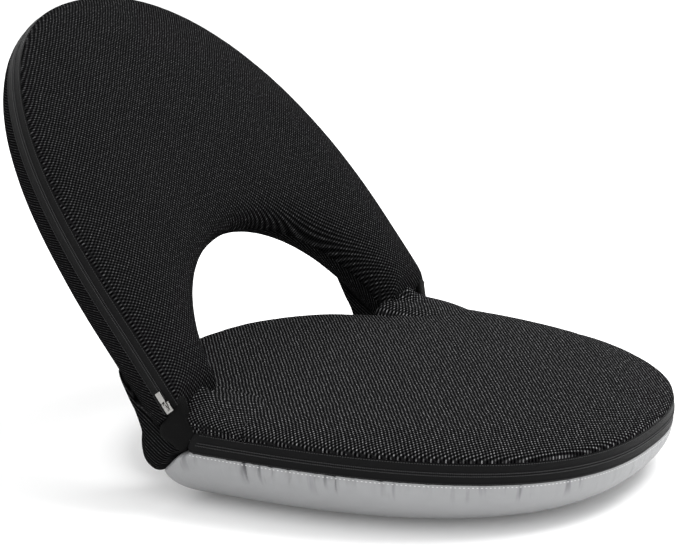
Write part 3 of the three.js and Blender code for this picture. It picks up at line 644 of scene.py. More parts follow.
def bump(tree, shader, height, depth):
    """Relief in the shading, as deep as depth."""
    node = tree.nodes.new("ShaderNodeBump")
    node.inputs["Distance"].default_value = depth
    tree.links.new(height, node.inputs["Height"])
    tree.links.new(node.outputs[0], shader.inputs["Normal"])


def dress(tree, shader, colour, roughness, gloss, relief, depth):
    """Gives a cloth its colour, roughness, gloss and the relief of its threads."""
    tree.links.new(colour, shader.inputs["Base Color"])
    shader.inputs["Roughness"].default_value = roughness
    shader.inputs["Specular IOR Level"].default_value = gloss
    bump(tree, shader, relief, depth)


def turned(tree, u, v, lean):
    """The first of two coordinates, after both are turned by an angle."""
    return plus(tree, times(tree, u, math.cos(lean)), times(tree, v, math.sin(lean)))


def knit_mesh(name, across, along, painted_highlight, rib_lean=None):
    """Black spacer mesh: staggered holes with raised stitches between, or leaning ribs of them. The
    stitches carry a painted highlight in place of gloss.
    """
    made, tree, shader = new_material(name)
    uv = cloth_uv(tree)
    u, v = split(tree, uv)
    wander = times(tree, minus(tree, noise(tree, uv, *KNIT_WANDER_NOISE), 0.5), KNIT_WANDER)
    column_rate, row_rate = 2 * math.pi / across, 2 * math.pi / along
    if rib_lean is None:
        columns = wave(tree, "COSINE", plus(tree, u, wander), column_rate)
        rows = wave(tree, "COSINE", minus(tree, v, wander), row_rate)
        weave = times(tree, columns, rows)
    else:
        ribs = wave(tree, "COSINE", plus(tree, turned(tree, u, v, rib_lean), wander), column_rate)
        rows = wave(tree, "COSINE", turned(tree, u, v, rib_lean + math.pi / 2), row_rate)
        beads = plus(tree, times(tree, rows, RIB_BEADS), 1 - RIB_BEADS)
        weave = times(tree, ribs, beads)
    hole = between(tree, weave, *KNIT_HOLE_STEP)
    stitch = between(tree, weave, *KNIT_STITCH_STEP)
    # Painted highlight on the stitches, in patches, with the gloss below set to nothing.
    patchy = between(tree, noise(tree, uv, *KNIT_PATCH_NOISE), *KNIT_PATCH_STEP)
    lit = times(tree, stitch, plus(tree, times(tree, patchy, 1 - KNIT_DULLEST), KNIT_DULLEST))
    thread = mixed(tree, noise(tree, uv, *KNIT_CLOUD_NOISE), KNIT_DARK, KNIT_LIGHT)
    bright = mixed(tree, lit, thread, (painted_highlight, painted_highlight, KNIT_COOLNESS * painted_highlight))
    colour = mixed(tree, hole, bright, KNIT_HOLE)
    dress(tree, shader, colour, KNIT_ROUGHNESS, 0.0, times(tree, weave, -1.0), KNIT_RELIEF)
    return made


def smooth_cloth(name, colour):
    """Plain tightly woven black cloth."""
    made, tree, shader = new_material(name)
    uv = cloth_uv(tree)
    threads = times(tree, *(wave(tree, "SINE", way, SMOOTH_THREAD_RATE) for way in split(tree, uv)))
    lighter = tuple(SMOOTH_LIGHTER * part for part in colour)
    clouded = mixed(tree, noise(tree, uv, *SMOOTH_CLOUD_NOISE), colour, lighter)
    dress(tree, shader, clouded, SMOOTH_ROUGHNESS, SMOOTH_GLOSS, threads, SMOOTH_RELIEF)
    return made


def fold_shade(tree, u, v):
    """Shade in the narrow folds that run down from the stitched edge."""
    drawn = tree.nodes.new("ShaderNodeCombineXYZ")
    tree.links.new(u, drawn.inputs[0])
    tree.links.new(times(tree, v, FOLD_DRAW), drawn.inputs[1])
    folds = between(tree, noise(tree, drawn.outputs[0], *FOLD_NOISE), *FOLD_STEP)
    places = between(tree, noise(tree, drawn.outputs[0], *FOLD_PLACE_NOISE), *FOLD_PLACE_STEP)
    near_edge = between(tree, v, *FOLD_REACH)
    return times(tree, folds, times(tree, places, near_edge))


def silver_nylon(name):
    """Silver-grey woven nylon with a soft satin gleam and fine threads, and painted shade in its folds."""
    made, tree, shader = new_material(name)
    uv = cloth_uv(tree)
    u, v = split(tree, uv)
    threads = plus(tree, *(wave(tree, "SINE", way, SILVER_THREAD_RATE) for way in (u, v)))
    plain = mixed(tree, noise(tree, uv, *SILVER_CLOUD_NOISE), SILVER_DARK, SILVER_LIGHT)
    # Painted shade darkens the folds below the stitched edge.
    colour = mixed(tree, fold_shade(tree, u, v), plain, SILVER_FOLD_SHADE)
    shader.inputs["Sheen Weight"].default_value = SILVER_SHEEN
    dress(tree, shader, colour, SILVER_ROUGHNESS, SILVER_GLOSS, threads, SILVER_RELIEF)
    return made


def zip_tape(name):
    """Satin black woven tape with fine ribs along it."""
    made, tree, shader = new_material(name)
    u, v = split(tree, cloth_uv(tree))
    ribs = wave(tree, "SINE", v, 2 * math.pi / TAPE_RIB_PITCH)
    cross = wave(tree, "SINE", u, 2 * math.pi / TAPE_CROSS_PITCH)
    woven = plus(tree, ribs, times(tree, cross, TAPE_CROSS_SHARE))
    colour = mixed(tree, between(tree, woven, *TAPE_STEP), TAPE_DARK, TAPE_LIGHT)
    dress(tree, shader, colour, TAPE_ROUGHNESS, TAPE_GLOSS, woven, TAPE_RELIEF)
    return made


def plain_finish(name, colour, roughness, metallic=0.0, grain=0.0):
    """A hard finish, slightly cloudy in its colour and gloss, with a fine grain where one is given."""
    made, tree, shader = new_material(name)
    place = tree.nodes.new("ShaderNodeTexCoord").outputs["Object"]
    cloudy = noise(tree, place, *FINISH_CLOUD_NOISE)
    darker = tuple(FINISH_DARKER * part for part in colour)
    tree.links.new(mixed(tree, cloudy, darker, colour), shader.inputs["Base Color"])
    rough = plus(tree, times(tree, cloudy, FINISH_ROUGH_SPREAD), roughness - FINISH_ROUGH_DROP)
    tree.links.new(rough, shader.inputs["Roughness"])
    shader.inputs["Metallic"].default_value = metallic
    if grain:
        bump(tree, shader, noise(tree, place, *FINISH_GRAIN_NOISE), grain)
    return made


# The stitches' painted highlight is set per piece: brightest on the seat's top, which faces the light,
# dimmer on the backrest's front, dimmest on the ribbed mesh.
MESH = knit_mesh("knit_mesh_seat", across=0.0060, along=0.0042, painted_highlight=0.31)
BACK_MESH = knit_mesh("knit_mesh_backrest", across=0.0052, along=0.0040, painted_highlight=0.125)
RIBBED = knit_mesh("knit_mesh_boots", across=0.0032, along=0.0036, painted_highlight=0.070, rib_lean=BOOT_RIB_LEAN)
RIBBED_REAR = knit_mesh("knit_mesh_rear", across=0.0032, along=0.0036, painted_highlight=0.070, rib_lean=REAR_RIB_LEAN)
SMOOTH_BLACK = smooth_cloth("smooth_black_cloth", (0.0011, 0.0011, 0.0012))
SILVER = silver_nylon("silver_nylon")
TAPE = zip_tape("zip_tape_black")
COIL = plain_finish("zip_coil_black", (0.012, 0.012, 0.013), roughness=0.5)
NICKEL = plain_finish("nickel_plate", (0.34, 0.335, 0.325), roughness=0.26, metallic=1.0)
THREAD = plain_finish("black_thread", (0.017, 0.017, 0.018), roughness=0.6)
WHITE_THREAD = plain_finish("white_thread", (0.86, 0.86, 0.86), roughness=0.6)
POWDER = plain_finish("black_powder_coat", (0.012, 0.012, 0.013), roughness=0.42, grain=0.0001)
ZINC = plain_finish("zinc_plated_steel", (0.52, 0.53, 0.55), roughness=0.34, metallic=1.0, grain=0.00003)


# Seat


def make_seat_cushion():
    """The seat's top: a hem behind the band, a rounded crown and a slightly domed middle."""
    hem = seat_ring((HEM_INSET,) * 3, BAND_HIGH - SEAT_HEM_DEPTH)
    lip = seat_ring((LIP_INSET,) * 3, BAND_HIGH - LIP_DEPTH)
    rings = [hem, lip]
    for angle in np.linspace(0, math.pi / 2, CROWN_STEPS):
        insets = [inset * (1 - math.cos(angle)) for inset in CROWN_INSETS]
        rings.append(seat_ring(insets, BAND_HIGH + SEAT_CROWN * math.sin(angle)))
    top = rings[-1]
    centre = np.array([0, AXIS[1] + DOME_CENTRE, 0])
    for share in np.linspace(1, 0, DOME_STEPS, endpoint=False)[1:]:
        ring = centre + share * (top - centre)
        y = ring[:, 1] - AXIS[1]
        ring[:, 2] = AXIS[2] + BAND_HIGH + SEAT_CROWN + SEAT_DOME * (1 - share * share) + droop(y)
        rings.append(ring)
    rings = np.array(rings)
    return skin("seat_cushion", rings, plan_uv(rings), MESH)


def base_corner(depth):
    """How far the base's rear corners are drawn in at a depth, as a share of the base's height."""
    if depth < BASE_CORNER_DEPTH:
        return -BASE_CORNER_REACH * depth / BASE_CORNER_DEPTH
    past = (depth - BASE_CORNER_DEPTH) / (1 - BASE_CORNER_DEPTH)
    return BASE_TUCKS[1] - (BASE_CORNER_REACH + BASE_TUCKS[1]) * math.sqrt(1 - past * past)


def bearing(ring):
    """The direction of each point of a ring, seen from the middle of the seat."""
    return np.arctan2(ring[:, 0], AXIS[1] + DOME_CENTRE - ring[:, 1])


def by_bearing(ring, known, values):
    """Values known at the points of one ring, read at the bearings of another's."""
    order = np.argsort(bearing(known))
    return np.interp(bearing(ring), bearing(known)[order], values[order])


def gathers(rings):
    """Soft folds down from the stitched edge, uneven along the sides and fading to the front."""
    edge = rings[1].copy()
    around = arclength(edge)
    turns = 2 * math.pi * around
    folds = np.zeros_like(around)
    for pitch, phase, share in GATHER_WAVES:
        drift = GATHER_DRIFT * np.sin(around / GATHER_DRIFT_LENGTH + phase)
        folds += share * np.sin(turns / pitch + phase + drift)
    folds = np.minimum(folds, GATHER_FULLEST)
    patches = np.sin(turns / GATHER_PATCHES[0] + GATHER_PATCH_PHASE) * np.sin(turns / GATHER_PATCHES[1])
    uneven = 1 - GATHER_UNEVEN + GATHER_UNEVEN * patches
    ahead = AXIS[1] - edge[:, 1]
    side = GATHER_FRONT + (1 - GATHER_FRONT) / (1 + np.exp((ahead - GATHER_SIDE_END) / GATHER_SIDE_FADE))
    sizes = folds * uneven * side
    for ring in rings[1:]:
        down = np.maximum(0, (edge[:, 2] - ring[:, 2]) / GATHER_LENGTH)
        fade = np.exp(-down) * np.minimum(1, GATHER_AT_EDGE + down * GATHER_RISE)
        outward = ring[:, :2] - [0, AXIS[1] + DOME_CENTRE]
        outward /= np.linalg.norm(outward, axis=1)[:, None]
        ring[:, :2] += outward * (GATHER_DEPTH * by_bearing(ring, edge, sizes) * fade)[:, None]


def make_seat_base():
    """The silver underside, drawn in to the floor, with its rear corners reaching back under the legs."""
    rings = [seat_ring((HEM_INSET,) * 3, BAND_LOW + HEM_DEPTH)]
    for depth in BASE_DEPTHS:
        cos = math.sqrt(1 - depth * depth)
        insets = [BASE_TUCKS[0] * (1 - cos), base_corner(depth), BASE_TUCKS[2] * (1 - cos)]
        squared = min(1, depth / BASE_CORNER_TURN)
        roundness = REAR_ROUNDNESS + (BASE_CORNER_ROUNDNESS - REAR_ROUNDNESS) * squared
        rings.append(seat_ring(insets, BAND_LOW - (BAND_LOW - FLOOR) * depth, roundness))
    rings = np.array(rings)
    gathers(rings)
    around = arclength(np.concatenate([rings[1], rings[1][:1]]))
    down = arclength(rings[:, SIDE_POINTS // 2])
    uv = np.stack(np.broadcast_arrays(around[None, :], down[:, None]), -1).copy()
    for row, ring in zip(uv, rings):
        row[:SIDE_POINTS, 0] = by_bearing(ring[:SIDE_POINTS], rings[1][:SIDE_POINTS], around[:SIDE_POINTS])
    return skin("seat_base", rings, uv, SILVER)


def band_section():
    """A band's section, as (inset, share of its height): a slightly full face and a tucked-in back."""
    share = np.linspace(0, 1, FACE_POINTS)
    full = 1 - (2 * share - 1) ** BAND_SQUARENESS
    face = np.stack([BAND_EDGE - (BAND_EDGE + BAND_BULGE) * full, share], -1)
    return np.concatenate([face, [(BAND_DEPTH, 1 - BAND_TUCK), (BAND_DEPTH, BAND_TUCK)]])


def part_line(line, end, count):
    """The part of the seat's outline that is in front of a place, at even distances."""
    y = line[:, 1] - AXIS[1]
    ahead = np.nonzero((np.arange(len(line)) < SIDE_POINTS) & (y < end))[0]
    first, last = ahead[0], ahead[-1]
    ends = []
    for inside, outside in ((first, first - 1), (last, last + 1)):
        share = (end - y[inside]) / (y[outside] - y[inside])
        ends.append(line[inside] + share * (line[outside] - line[inside]))
    return evenly(np.concatenate([[ends[0]], line[first:last + 1], [ends[1]]]), count)


def zip_line(inset, share, count):
    """A line along the seat's zip band, at a share of the band's height."""
    ring = seat_ring((inset,) * 3, band_height(share))
    end = SEAT_ZIP_ENDS[0] + share * (SEAT_ZIP_ENDS[1] - SEAT_ZIP_ENDS[0])
    return part_line(ring, end, count)


def make_seat_zip_band():
    """The zip band round the seat's front and sides."""
    rings = np.array([zip_line(inset, share, BAND_STATIONS) for inset, share in band_section()])
    rings = np.transpose(rings, (1, 0, 2))
    return skin("seat_zip_band", rings, band_uv(rings), TAPE)


def make_seat_strip():
    """The band round the seat's back face and lobe, which has no zip."""
    rings = [seat_ring((inset + STRIP_INSET,) * 3, band_height(share)) for inset, share in band_section()]
    rings = np.transpose(np.array(rings), (1, 0, 2))
    total = len(rings)
    y = rings[:, 0, 1] - AXIS[1]
    ahead = np.nonzero((np.arange(total) < SIDE_POINTS) & (y < SEAT_STRIP_START))[0]
    rear = [(ahead[-1] + k) % total for k in range(total - len(ahead) + 2)]
    rings = rings[rear]
    return skin("seat_rear_strip", rings, band_uv(rings), BACK_MESH)


# Backrest


def arch(half, widest, length, roundness):
    """An arch from the foot of one leg over the top to the other, as (x, up), at even distances."""
    over = oval(np.linspace(math.pi, 0, ARCH_CURVE_POINTS), half, length - widest, roundness)
    over[:, 1] += widest
    return evenly(np.concatenate([[[-half, 0]], over, [[half, 0]]]), ARCH_STATIONS)


OUTER_ARCH = arch(BACK_HALF_WIDTH, BACK_WIDEST, BACK_LENGTH, BACK_ROUNDNESS)
WINDOW_ARCH = arch(WINDOW_HALF_WIDTH, WINDOW_SPRING, WINDOW_TOP, WINDOW_ROUNDNESS)
ARCH_WIDTH = np.linalg.norm(OUTER_ARCH - WINDOW_ARCH, axis=1)


def front_profile(width):
    """The front cushion's section from the band over the front to the window seam, as (across, proud)."""
    crown = quarter(BACK_CROWN_INSET, BACK_CROWN, CROWN_STEPS) + [0, BAND_HIGH]
    top = BAND_HIGH + BACK_CROWN
    dome = BACK_DOME * min(1, (width / (BACK_LENGTH - WINDOW_TOP)) ** 2)
    share = np.linspace(-1, 1, FLAT_STEPS)[1:-1]
    start, end = BACK_CROWN_INSET, width - WINDOW_EDGE_ROUND
    flat = np.stack([(start + end) / 2 + share * (end - start) / 2, top + dome * (1 - share**2)], -1)
    edge = quarter(WINDOW_EDGE_ROUND, top - WINDOW_SEAM, CROWN_STEPS, False)
    edge = np.stack([width - edge[:, 0], WINDOW_SEAM + edge[:, 1]], -1)
    face = smooth_line(np.concatenate([crown, flat, edge]), PROFILE_SOFTENING)
    lip = [(LIP_INSET, BAND_HIGH - LIP_DEPTH)]
    lap = WINDOW_SEAM + SEAM_LAP
    hem = [(width - SEAM_INSET, lap), (SEAM_FAR_INSET, lap), (HEM_INSET, BAND_HIGH - HEM_DEPTH)]
    return np.concatenate([lip, face, hem])


def rear_profile(width):
    """The rear cushion's section from the window seam round the back to the band, as (across, proud)."""
    edge = quarter(WINDOW_EDGE_ROUND, BACK_REAR - WINDOW_SEAM, CROWN_STEPS)
    edge = np.stack([width - edge[:, 0], WINDOW_SEAM + edge[:, 1]], -1)
    share = np.linspace(0, 1, FLAT_STEPS)[1:-1]
    start, end = width - WINDOW_EDGE_ROUND, BACK_REAR_INSET
    flat = np.stack([start + share * (end - start), np.full(len(share), BACK_REAR)], -1)
    crown = quarter(BACK_REAR_INSET, BACK_REAR - BAND_LOW, CROWN_STEPS, False) + [0, BAND_LOW]
    face = smooth_line(np.concatenate([edge, flat, crown]), PROFILE_SOFTENING)
    lap, lip = WINDOW_SEAM - SEAM_LAP, BAND_LOW + LIP_DEPTH
    hem = [(LIP_INSET, lip), (HEM_INSET, lip), (SEAM_FAR_INSET, lap)]
    return np.concatenate([[(width - SEAM_INSET, lap)], face, hem])


def band_profile(width):
    """The backrest band's section, as (across, proud), the same at every width."""
    section = band_section()
    return np.stack([section[:, 0], band_height(section[:, 1])], -1)


def backrest_rings(profile, stations=range(ARCH_STATIONS)):
    """Rings of a backrest piece in its own axes: (x, up, proud)."""
    rings = []
    for i in stations:
        section = profile(ARCH_WIDTH[i])
        across = (WINDOW_ARCH[i] - OUTER_ARCH[i]) / ARCH_WIDTH[i]
        flat = OUTER_ARCH[i] + section[:, :1] * across
        rings.append(np.concatenate([flat, section[:, 1:] + bow(flat[:, 1:])], -1))
    return np.array(rings)


def end_legs(rings):
    """Ends both legs at one height on the backrest."""
    rings[..., 1] = np.maximum(rings[..., 1], LEG_FOOT)
    return rings


def in_part(rings):
    """Rings of the backrest in the part's frame."""
    return to_part(rings[..., 0], rings[..., 1], rings[..., 2])


def loop_uv(rings):
    """UV pairs with the length round each section across, and the height up the backrest along."""
    closed = np.concatenate([rings, rings[:, :1]], 1)
    return np.stack([np.array([arclength(ring) for ring in closed]), closed[..., 1]], -1)


def soft_lower(values, limits, softness):
    """The lower of two heights, with the corner between them rounded."""
    gap = np.clip((softness - np.abs(values - limits)) / softness, 0, 1)
    return np.minimum(values, limits) - gap * gap * softness / 4


def make_backrest_front():
    """The padded front, which rounds off towards the hinges."""
    rings = end_legs(backrest_rings(front_profile))
    places, heights = np.array(LEG_ROUNDING).T
    limit = np.interp(rings[..., 1], places, heights)
    rings[..., 2] = soft_lower(rings[..., 2], limit, LEG_SOFTENING)
    return skin("backrest_front_cushion", in_part(rings), plan_uv(rings), BACK_MESH)


def make_backrest_rear():
    """The padded back."""
    rings = end_legs(backrest_rings(rear_profile))
    return skin("backrest_rear_cushion", in_part(rings), loop_uv(rings), RIBBED_REAR)


def make_backrest_band():
    """The zip band round the backrest's outer edge."""
    stations = np.nonzero(OUTER_ARCH[:, 1] > BACK_ZIP_FOOT)[0]
    rings = backrest_rings(band_profile, stations)
    return skin("backrest_zip_band", in_part(rings), band_uv(rings), TAPE)


# Hinge corners


def spline(points, steps, closed=True):
    """A smooth curve through points, with steps between each two of them."""
    points = np.asarray(points, float)
    count = len(points)
    out = []
    for i in range(count if closed else count - 1):
        places = range(i - 1, i + 3)
        a, b, c, d = points[[p % count if closed else min(max(p, 0), count - 1) for p in places]]
        for t in np.linspace(0, 1, steps, endpoint=False):
            out.append(0.5 * (2 * b + (c - a) * t + (2 * a - 5 * b + 4 * c - d) * t * t
                              + (3 * b - a - 3 * c + d) * t**3))
    return np.array(out)


def hinge_pad(name, side, outline, focus, middle, half, finish, flare=0.0):
    """A pad across a hinge corner: its section stays full in the middle and draws in at both ends."""
    outline, focus = spline(outline, PAD_CURVE_STEPS), np.array(focus)
    rings = []
    for s in np.sin(np.linspace(-1, 1, PAD_STATIONS) * math.pi / 2) * PAD_END:
        share = (1 - abs(s) ** PAD_FULLNESS) ** (1 / PAD_FULLNESS)
        section = focus + share * (outline - focus)
        up = section[:, :1] * math.cos(BACK_RAISE) + section[:, 1:] * math.sin(BACK_RAISE)
        x = side * (middle + s * half + flare * np.clip(up / LEG_FOOT, 0, FLARE_LIMIT))
        rings.append(np.concatenate([x, AXIS[1] + section[:, :1], AXIS[2] + section[:, 1:]], -1))
    rings = np.array(rings)
    wrapped = np.concatenate([rings, rings[:, :1]], 1)
    uv = np.stack([wrapped[..., 1] - side * wrapped[..., 0], wrapped[..., 2]], -1)
    return skin(name, rings, uv, finish)


def crease_section(seen, sunk):
    """A section of the crease: its curve up the leg, and its line back where it is sunk."""
    return np.concatenate([spline(seen, CREASE_CURVE_STEPS, False), [seen[-1]], sunk])


def rounded_end(distance, length):
    """How full a fold is at a distance from its end, from 0 at the end to 1 past the length."""
    return math.sqrt(max(0, 1 - (1 - min(1, distance / length)) ** 2))


def make_crease(name, side):
    """The cover's fold over a hinge: it rises from the seat's top and sinks in the leg's front."""
    full = crease_section(CREASE_SEAT_SIDE, CREASE_SUNK)
    feet = crease_section(CREASE_FEET, CREASE_SUNK_FEET)
    cover = crease_section(CREASE_COVER, CREASE_SUNK)
    middle = full.mean(0)
    span = CREASE_OUTER - CREASE_INNER_END
    rings, wrap = [], []
    for t in (1 - np.cos(np.linspace(0, math.pi, CREASE_STATIONS))) / 2:
        inset = span * t
        crown = rounded_end(inset, CREASE_ROUND) * rounded_end(span - inset, CREASE_FADE)
        off = (CREASE_OUTER - inset - CREASE_COVER_MIDDLE) / CREASE_COVER_HALF
        over = math.cos(off * math.pi / 2) ** 2 if abs(off) < 1 else 0.0
        section = feet + crown * (full - feet) + over * (cover - full)
        wrap.append(full[:, 1] - section[:, 1])
        shrink = 1 if CREASE_END < inset < span - CREASE_END else CREASE_END_SHRINK
        section = middle + shrink * (section - middle)
        x = np.full((len(section), 1), side * (CREASE_OUTER - inset))
        rings.append(np.concatenate([x, AXIS[1] + section[:, :1], AXIS[2] + section[:, 1:]], -1))
    rings, wrap = np.array(rings), np.array(wrap)
    uv = plan_uv(rings)
    uv[:, :-1, 0] += side * wrap
    uv[:, -1, 0] += side * wrap[:, 0]
    return skin(name, rings, uv, MESH)


def make_corner(side, name):
    """The three pieces of cloth at one hinge."""
    crease = make_crease(f"{name}_hinge_crease", side)
    boot = hinge_pad(f"{name}_hinge_boot", side, BOOT_OUTLINE, BOOT_FOCUS, BOOT_MIDDLE, BOOT_HALF, RIBBED)
    cloth = hinge_pad(f"{name}_hinge_side", side, SIDE_OUTLINE, SIDE_FOCUS, SIDE_MIDDLE, SIDE_HALF,
                      SMOOTH_BLACK, SIDE_FLARE)
    return crease, boot, cloth


# Repeated teeth and stitches


def repeat_tree():
    """A Geometry Nodes group that puts a small mesh on every point, turned as the point says."""
    tree = bpy.data.node_groups.new("repeat_on_points", "GeometryNodeTree")
    tree.interface.new_socket("Geometry", in_out="INPUT", socket_type="NodeSocketGeometry")
    tree.interface.new_socket("Small piece", in_out="INPUT", socket_type="NodeSocketObject")
    tree.interface.new_socket("Finish", in_out="INPUT", socket_type="NodeSocketMaterial")
    tree.interface.new_socket("Geometry", in_out="OUTPUT", socket_type="NodeSocketGeometry")
    start = tree.nodes.new("NodeGroupInput")
    end = tree.nodes.new("NodeGroupOutput")
    info = tree.nodes.new("GeometryNodeObjectInfo")
    turn = tree.nodes.new("GeometryNodeInputNamedAttribute")
    turn.data_type = "FLOAT_VECTOR"
    turn.inputs["Name"].default_value = "turn"
    euler = tree.nodes.new("FunctionNodeEulerToRotation")
    place = tree.nodes.new("GeometryNodeInstanceOnPoints")
    real = tree.nodes.new("GeometryNodeRealizeInstances")
    finish = tree.nodes.new("GeometryNodeSetMaterial")
    tree.links.new(start.outputs["Small piece"], info.inputs["Object"])
    tree.links.new(start.outputs["Geometry"], place.inputs["Points"])
    tree.links.new(info.outputs["Geometry"], place.inputs["Instance"])
    tree.links.new(turn.outputs["Attribute"], euler.inputs[0])
    tree.links.new(euler.outputs[0], place.inputs["Rotation"])
    tree.links.new(place.outputs["Instances"], real.inputs["Geometry"])
    tree.links.new(real.outputs["Geometry"], finish.inputs["Geometry"])
    tree.links.new(start.outputs["Finish"], finish.inputs["Material"])
    tree.links.new(finish.outputs["Geometry"], end.inputs["Geometry"])
    return tree


REPEAT = repeat_tree()


def capsule(name, length, radius, flat, sides):
    """A small rounded bar along x, to be repeated."""
    points, faces = [], []
    for along, wide in CAPSULE_STOPS:
        for i in range(sides):
            angle = 2 * math.pi * i / sides
            y, z = wide * radius * math.cos(angle), flat * wide * radius * math.sin(angle)
            points.append((along * length, y, z))
    for r in range(len(CAPSULE_STOPS) - 1):
        for i in range(sides):
            j = (i + 1) % sides
            faces.append((r * sides + i, r * sides + j, (r + 1) * sides + j, (r + 1) * sides + i))
    faces.append(tuple(range(sides))[::-1])
    faces.append(tuple((len(CAPSULE_STOPS) - 1) * sides + i for i in range(sides)))
    mesh = bpy.data.meshes.new(name)
    mesh.from_pydata(points, [], faces)
    mesh.polygons.foreach_set("use_smooth", [True] * len(faces))
    return bpy.data.objects.new(name, mesh)


TOOTH = capsule("tooth", length=0.0014, radius=0.00070, flat=0.8, sides=6)
STITCH = capsule("stitch", length=0.0019, radius=0.00042, flat=0.7, sides=5)


def repeated(name, small, points, along, outward, finish, lean=0.0):
    """Puts a small piece at every point, its x axis along the line and its z axis outward."""
    mesh = bpy.data.meshes.new(name)
    mesh.from_pydata([tuple(p) for p in points], [], [])
    turns = []
    for forward, out in zip(along, outward):
        x = Vector(forward).normalized()
        z = Vector(out)
        z = (z - x * z.dot(x)).normalized()
        y = z.cross(x)
        x, y = x * math.cos(lean) + y * math.sin(lean), y * math.cos(lean) - x * math.sin(lean)
        turns += Matrix((x, y, z)).transposed().to_euler()[:]
    layer = mesh.attributes.new("turn", "FLOAT_VECTOR", "POINT")
    layer.data.foreach_set("vector", turns)
    holder = bpy.data.objects.new(name, mesh)
    bpy.context.scene.collection.objects.link(holder)
    modifier = holder.modifiers.new("repeat", "NODES")
    modifier.node_group = REPEAT
    wanted = {"Small piece": small, "Finish": finish}
    for item in REPEAT.interface.items_tree:
        if item.in_out == "INPUT" and item.name in wanted:
            modifier[item.identifier] = wanted[item.name]
    bpy.context.view_layer.update()
    depsgraph = bpy.context.evaluated_depsgraph_get()
    made = bpy.data.meshes.new_from_object(holder.evaluated_get(depsgraph))
    made.name = name
    holder.modifiers.clear()
    holder.data = made
    return holder


def placed(line, outer, at, run):
    """Points at places along a line, with the way along it and the way outward from each."""
    points = picked(line, at, run)
    return points, np.gradient(points, axis=0), picked(outer, at, run) - points


def seat_line(share, proud, pitch, trim):
    """Evenly spaced places along the seat's zip band, at a share of its height."""
    line = zip_line(-proud, share, LINE_SAMPLES)
    outer = zip_line(-proud - OUTWARD_STEP, share, LINE_SAMPLES)
    length = arclength(line)[-1]
    count = int((length - 2 * trim) / pitch)
    at = (trim + np.arange(count) * pitch) / length * (LINE_SAMPLES - 1)
    return placed(line, outer, at, np.arange(LINE_SAMPLES))


def back_line(share, proud, pitch, foot):
    """Evenly spaced places along the backrest's zip band, at a share of its height."""
    keep = OUTER_ARCH[:, 1] > foot
    outer, inner = OUTER_ARCH[keep], WINDOW_ARCH[keep]
    across = (inner - outer) / ARCH_WIDTH[keep][:, None]
    lines = []
    for out in (proud, proud + OUTWARD_STEP):
        flat = outer - out * across
        lines.append(to_part(flat[:, 0], flat[:, 1], band_height(share) + bow(flat[:, 1])))
    run = arclength(lines[0])
    return placed(*lines, np.arange(0, run[-1], pitch), run)


def make_teeth_and_stitches():
    """The coil's two rows of teeth and the bands' stitched lines, as (piece, slot, body)."""
    apart = TEETH_APART / (BAND_HIGH - BAND_LOW)
    pieces = []
    for name, share, lean in (("lower", 0.5 - apart, TEETH_LEAN), ("upper", 0.5 + apart, -TEETH_LEAN)):
        line = seat_line(share, TEETH_PROUD, TEETH_PITCH, SEAT_TEETH_TRIM)
        teeth = repeated(f"seat_zip_teeth_{name}", TOOTH, *line, COIL, lean)
        pieces.append((teeth, "zip_coil", "seat"))
        line = back_line(share, TEETH_PROUD, TEETH_PITCH, BACK_TEETH_FOOT)
        teeth = repeated(f"backrest_zip_teeth_{name}", TOOTH, *line, COIL, lean)
        pieces.append((teeth, "zip_coil", "backrest"))
    for name, share in (("lower", STITCH_SHARE), ("upper", 1 - STITCH_SHARE)):
        line = seat_line(share, STITCH_PROUD, STITCH_PITCH, SEAT_STITCH_TRIM)
        stitches = repeated(f"seat_band_stitches_{name}", STITCH, *line, THREAD)
        pieces.append((stitches, "zip_tape", "seat"))
        line = back_line(share, STITCH_PROUD, STITCH_PITCH, BACK_STITCH_FOOT)
        stitches = repeated(f"backrest_band_stitches_{name}", STITCH, *line, THREAD)
        pieces.append((stitches, "zip_tape", "backrest"))
    line = seat_line(WHITE_SHARE, WHITE_PROUD, WHITE_PITCH, WHITE_TRIM)
    stitches = repeated("seat_base_stitches", STITCH, *line, WHITE_THREAD)
    pieces.append((stitches, "base_cloth", "seat"))
    return pieces


def rounded_copy(node, name, edge):
    """A copy of a small metal piece with its edges rounded."""
    copy = bpy.data.objects.new(name, node.data.copy())
    bpy.context.scene.collection.objects.link(copy)
    work = bmesh.new()
    work.from_mesh(copy.data)
    work.transform(node.matrix_world)
    bmesh.ops.remove_doubles(work, verts=work.verts, dist=MERGE_DISTANCE)
    bmesh.ops.dissolve_limit(work, angle_limit=FLAT_ANGLE, verts=work.verts, edges=work.edges)
    sharp = [e for e in work.edges if len(e.link_faces) == 2 and e.calc_face_angle() > SHARP_ANGLE]
    bmesh.ops.bevel(work, geom=sharp, offset=edge, segments=EDGE_SEGMENTS, profile=0.5,
                    affect="EDGES", clamp_overlap=True)
    for face in work.faces:
        face.smooth = True
    work.to_mesh(copy.data)
    work.free()
    copy.data.materials.clear()
    copy.data.materials.append(NICKEL)
    return copy


# Stuffing


def coordinates(mesh):
    """A mesh's points as rows of an array."""
    flat = np.empty(len(mesh.vertices) * 3)
    mesh.vertices.foreach_get("co", flat)
    return flat.reshape(-1, 3)


def voxel_copy(piece):
    """A copy of a piece in even faces, which give way alike in every direction."""
    copy = bpy.data.objects.new("stand_in", piece.data.copy())
    bpy.context.scene.collection.objects.link(copy)
    remesh = copy.modifiers.new("remesh", "REMESH")
    remesh.mode = "VOXEL"
    remesh.voxel_size = SETTLE_VOXEL
    depsgraph = bpy.context.evaluated_depsgraph_get()
    copy.data = bpy.data.meshes.new_from_object(copy.evaluated_get(depsgraph))
    copy.modifiers.clear()
    return copy


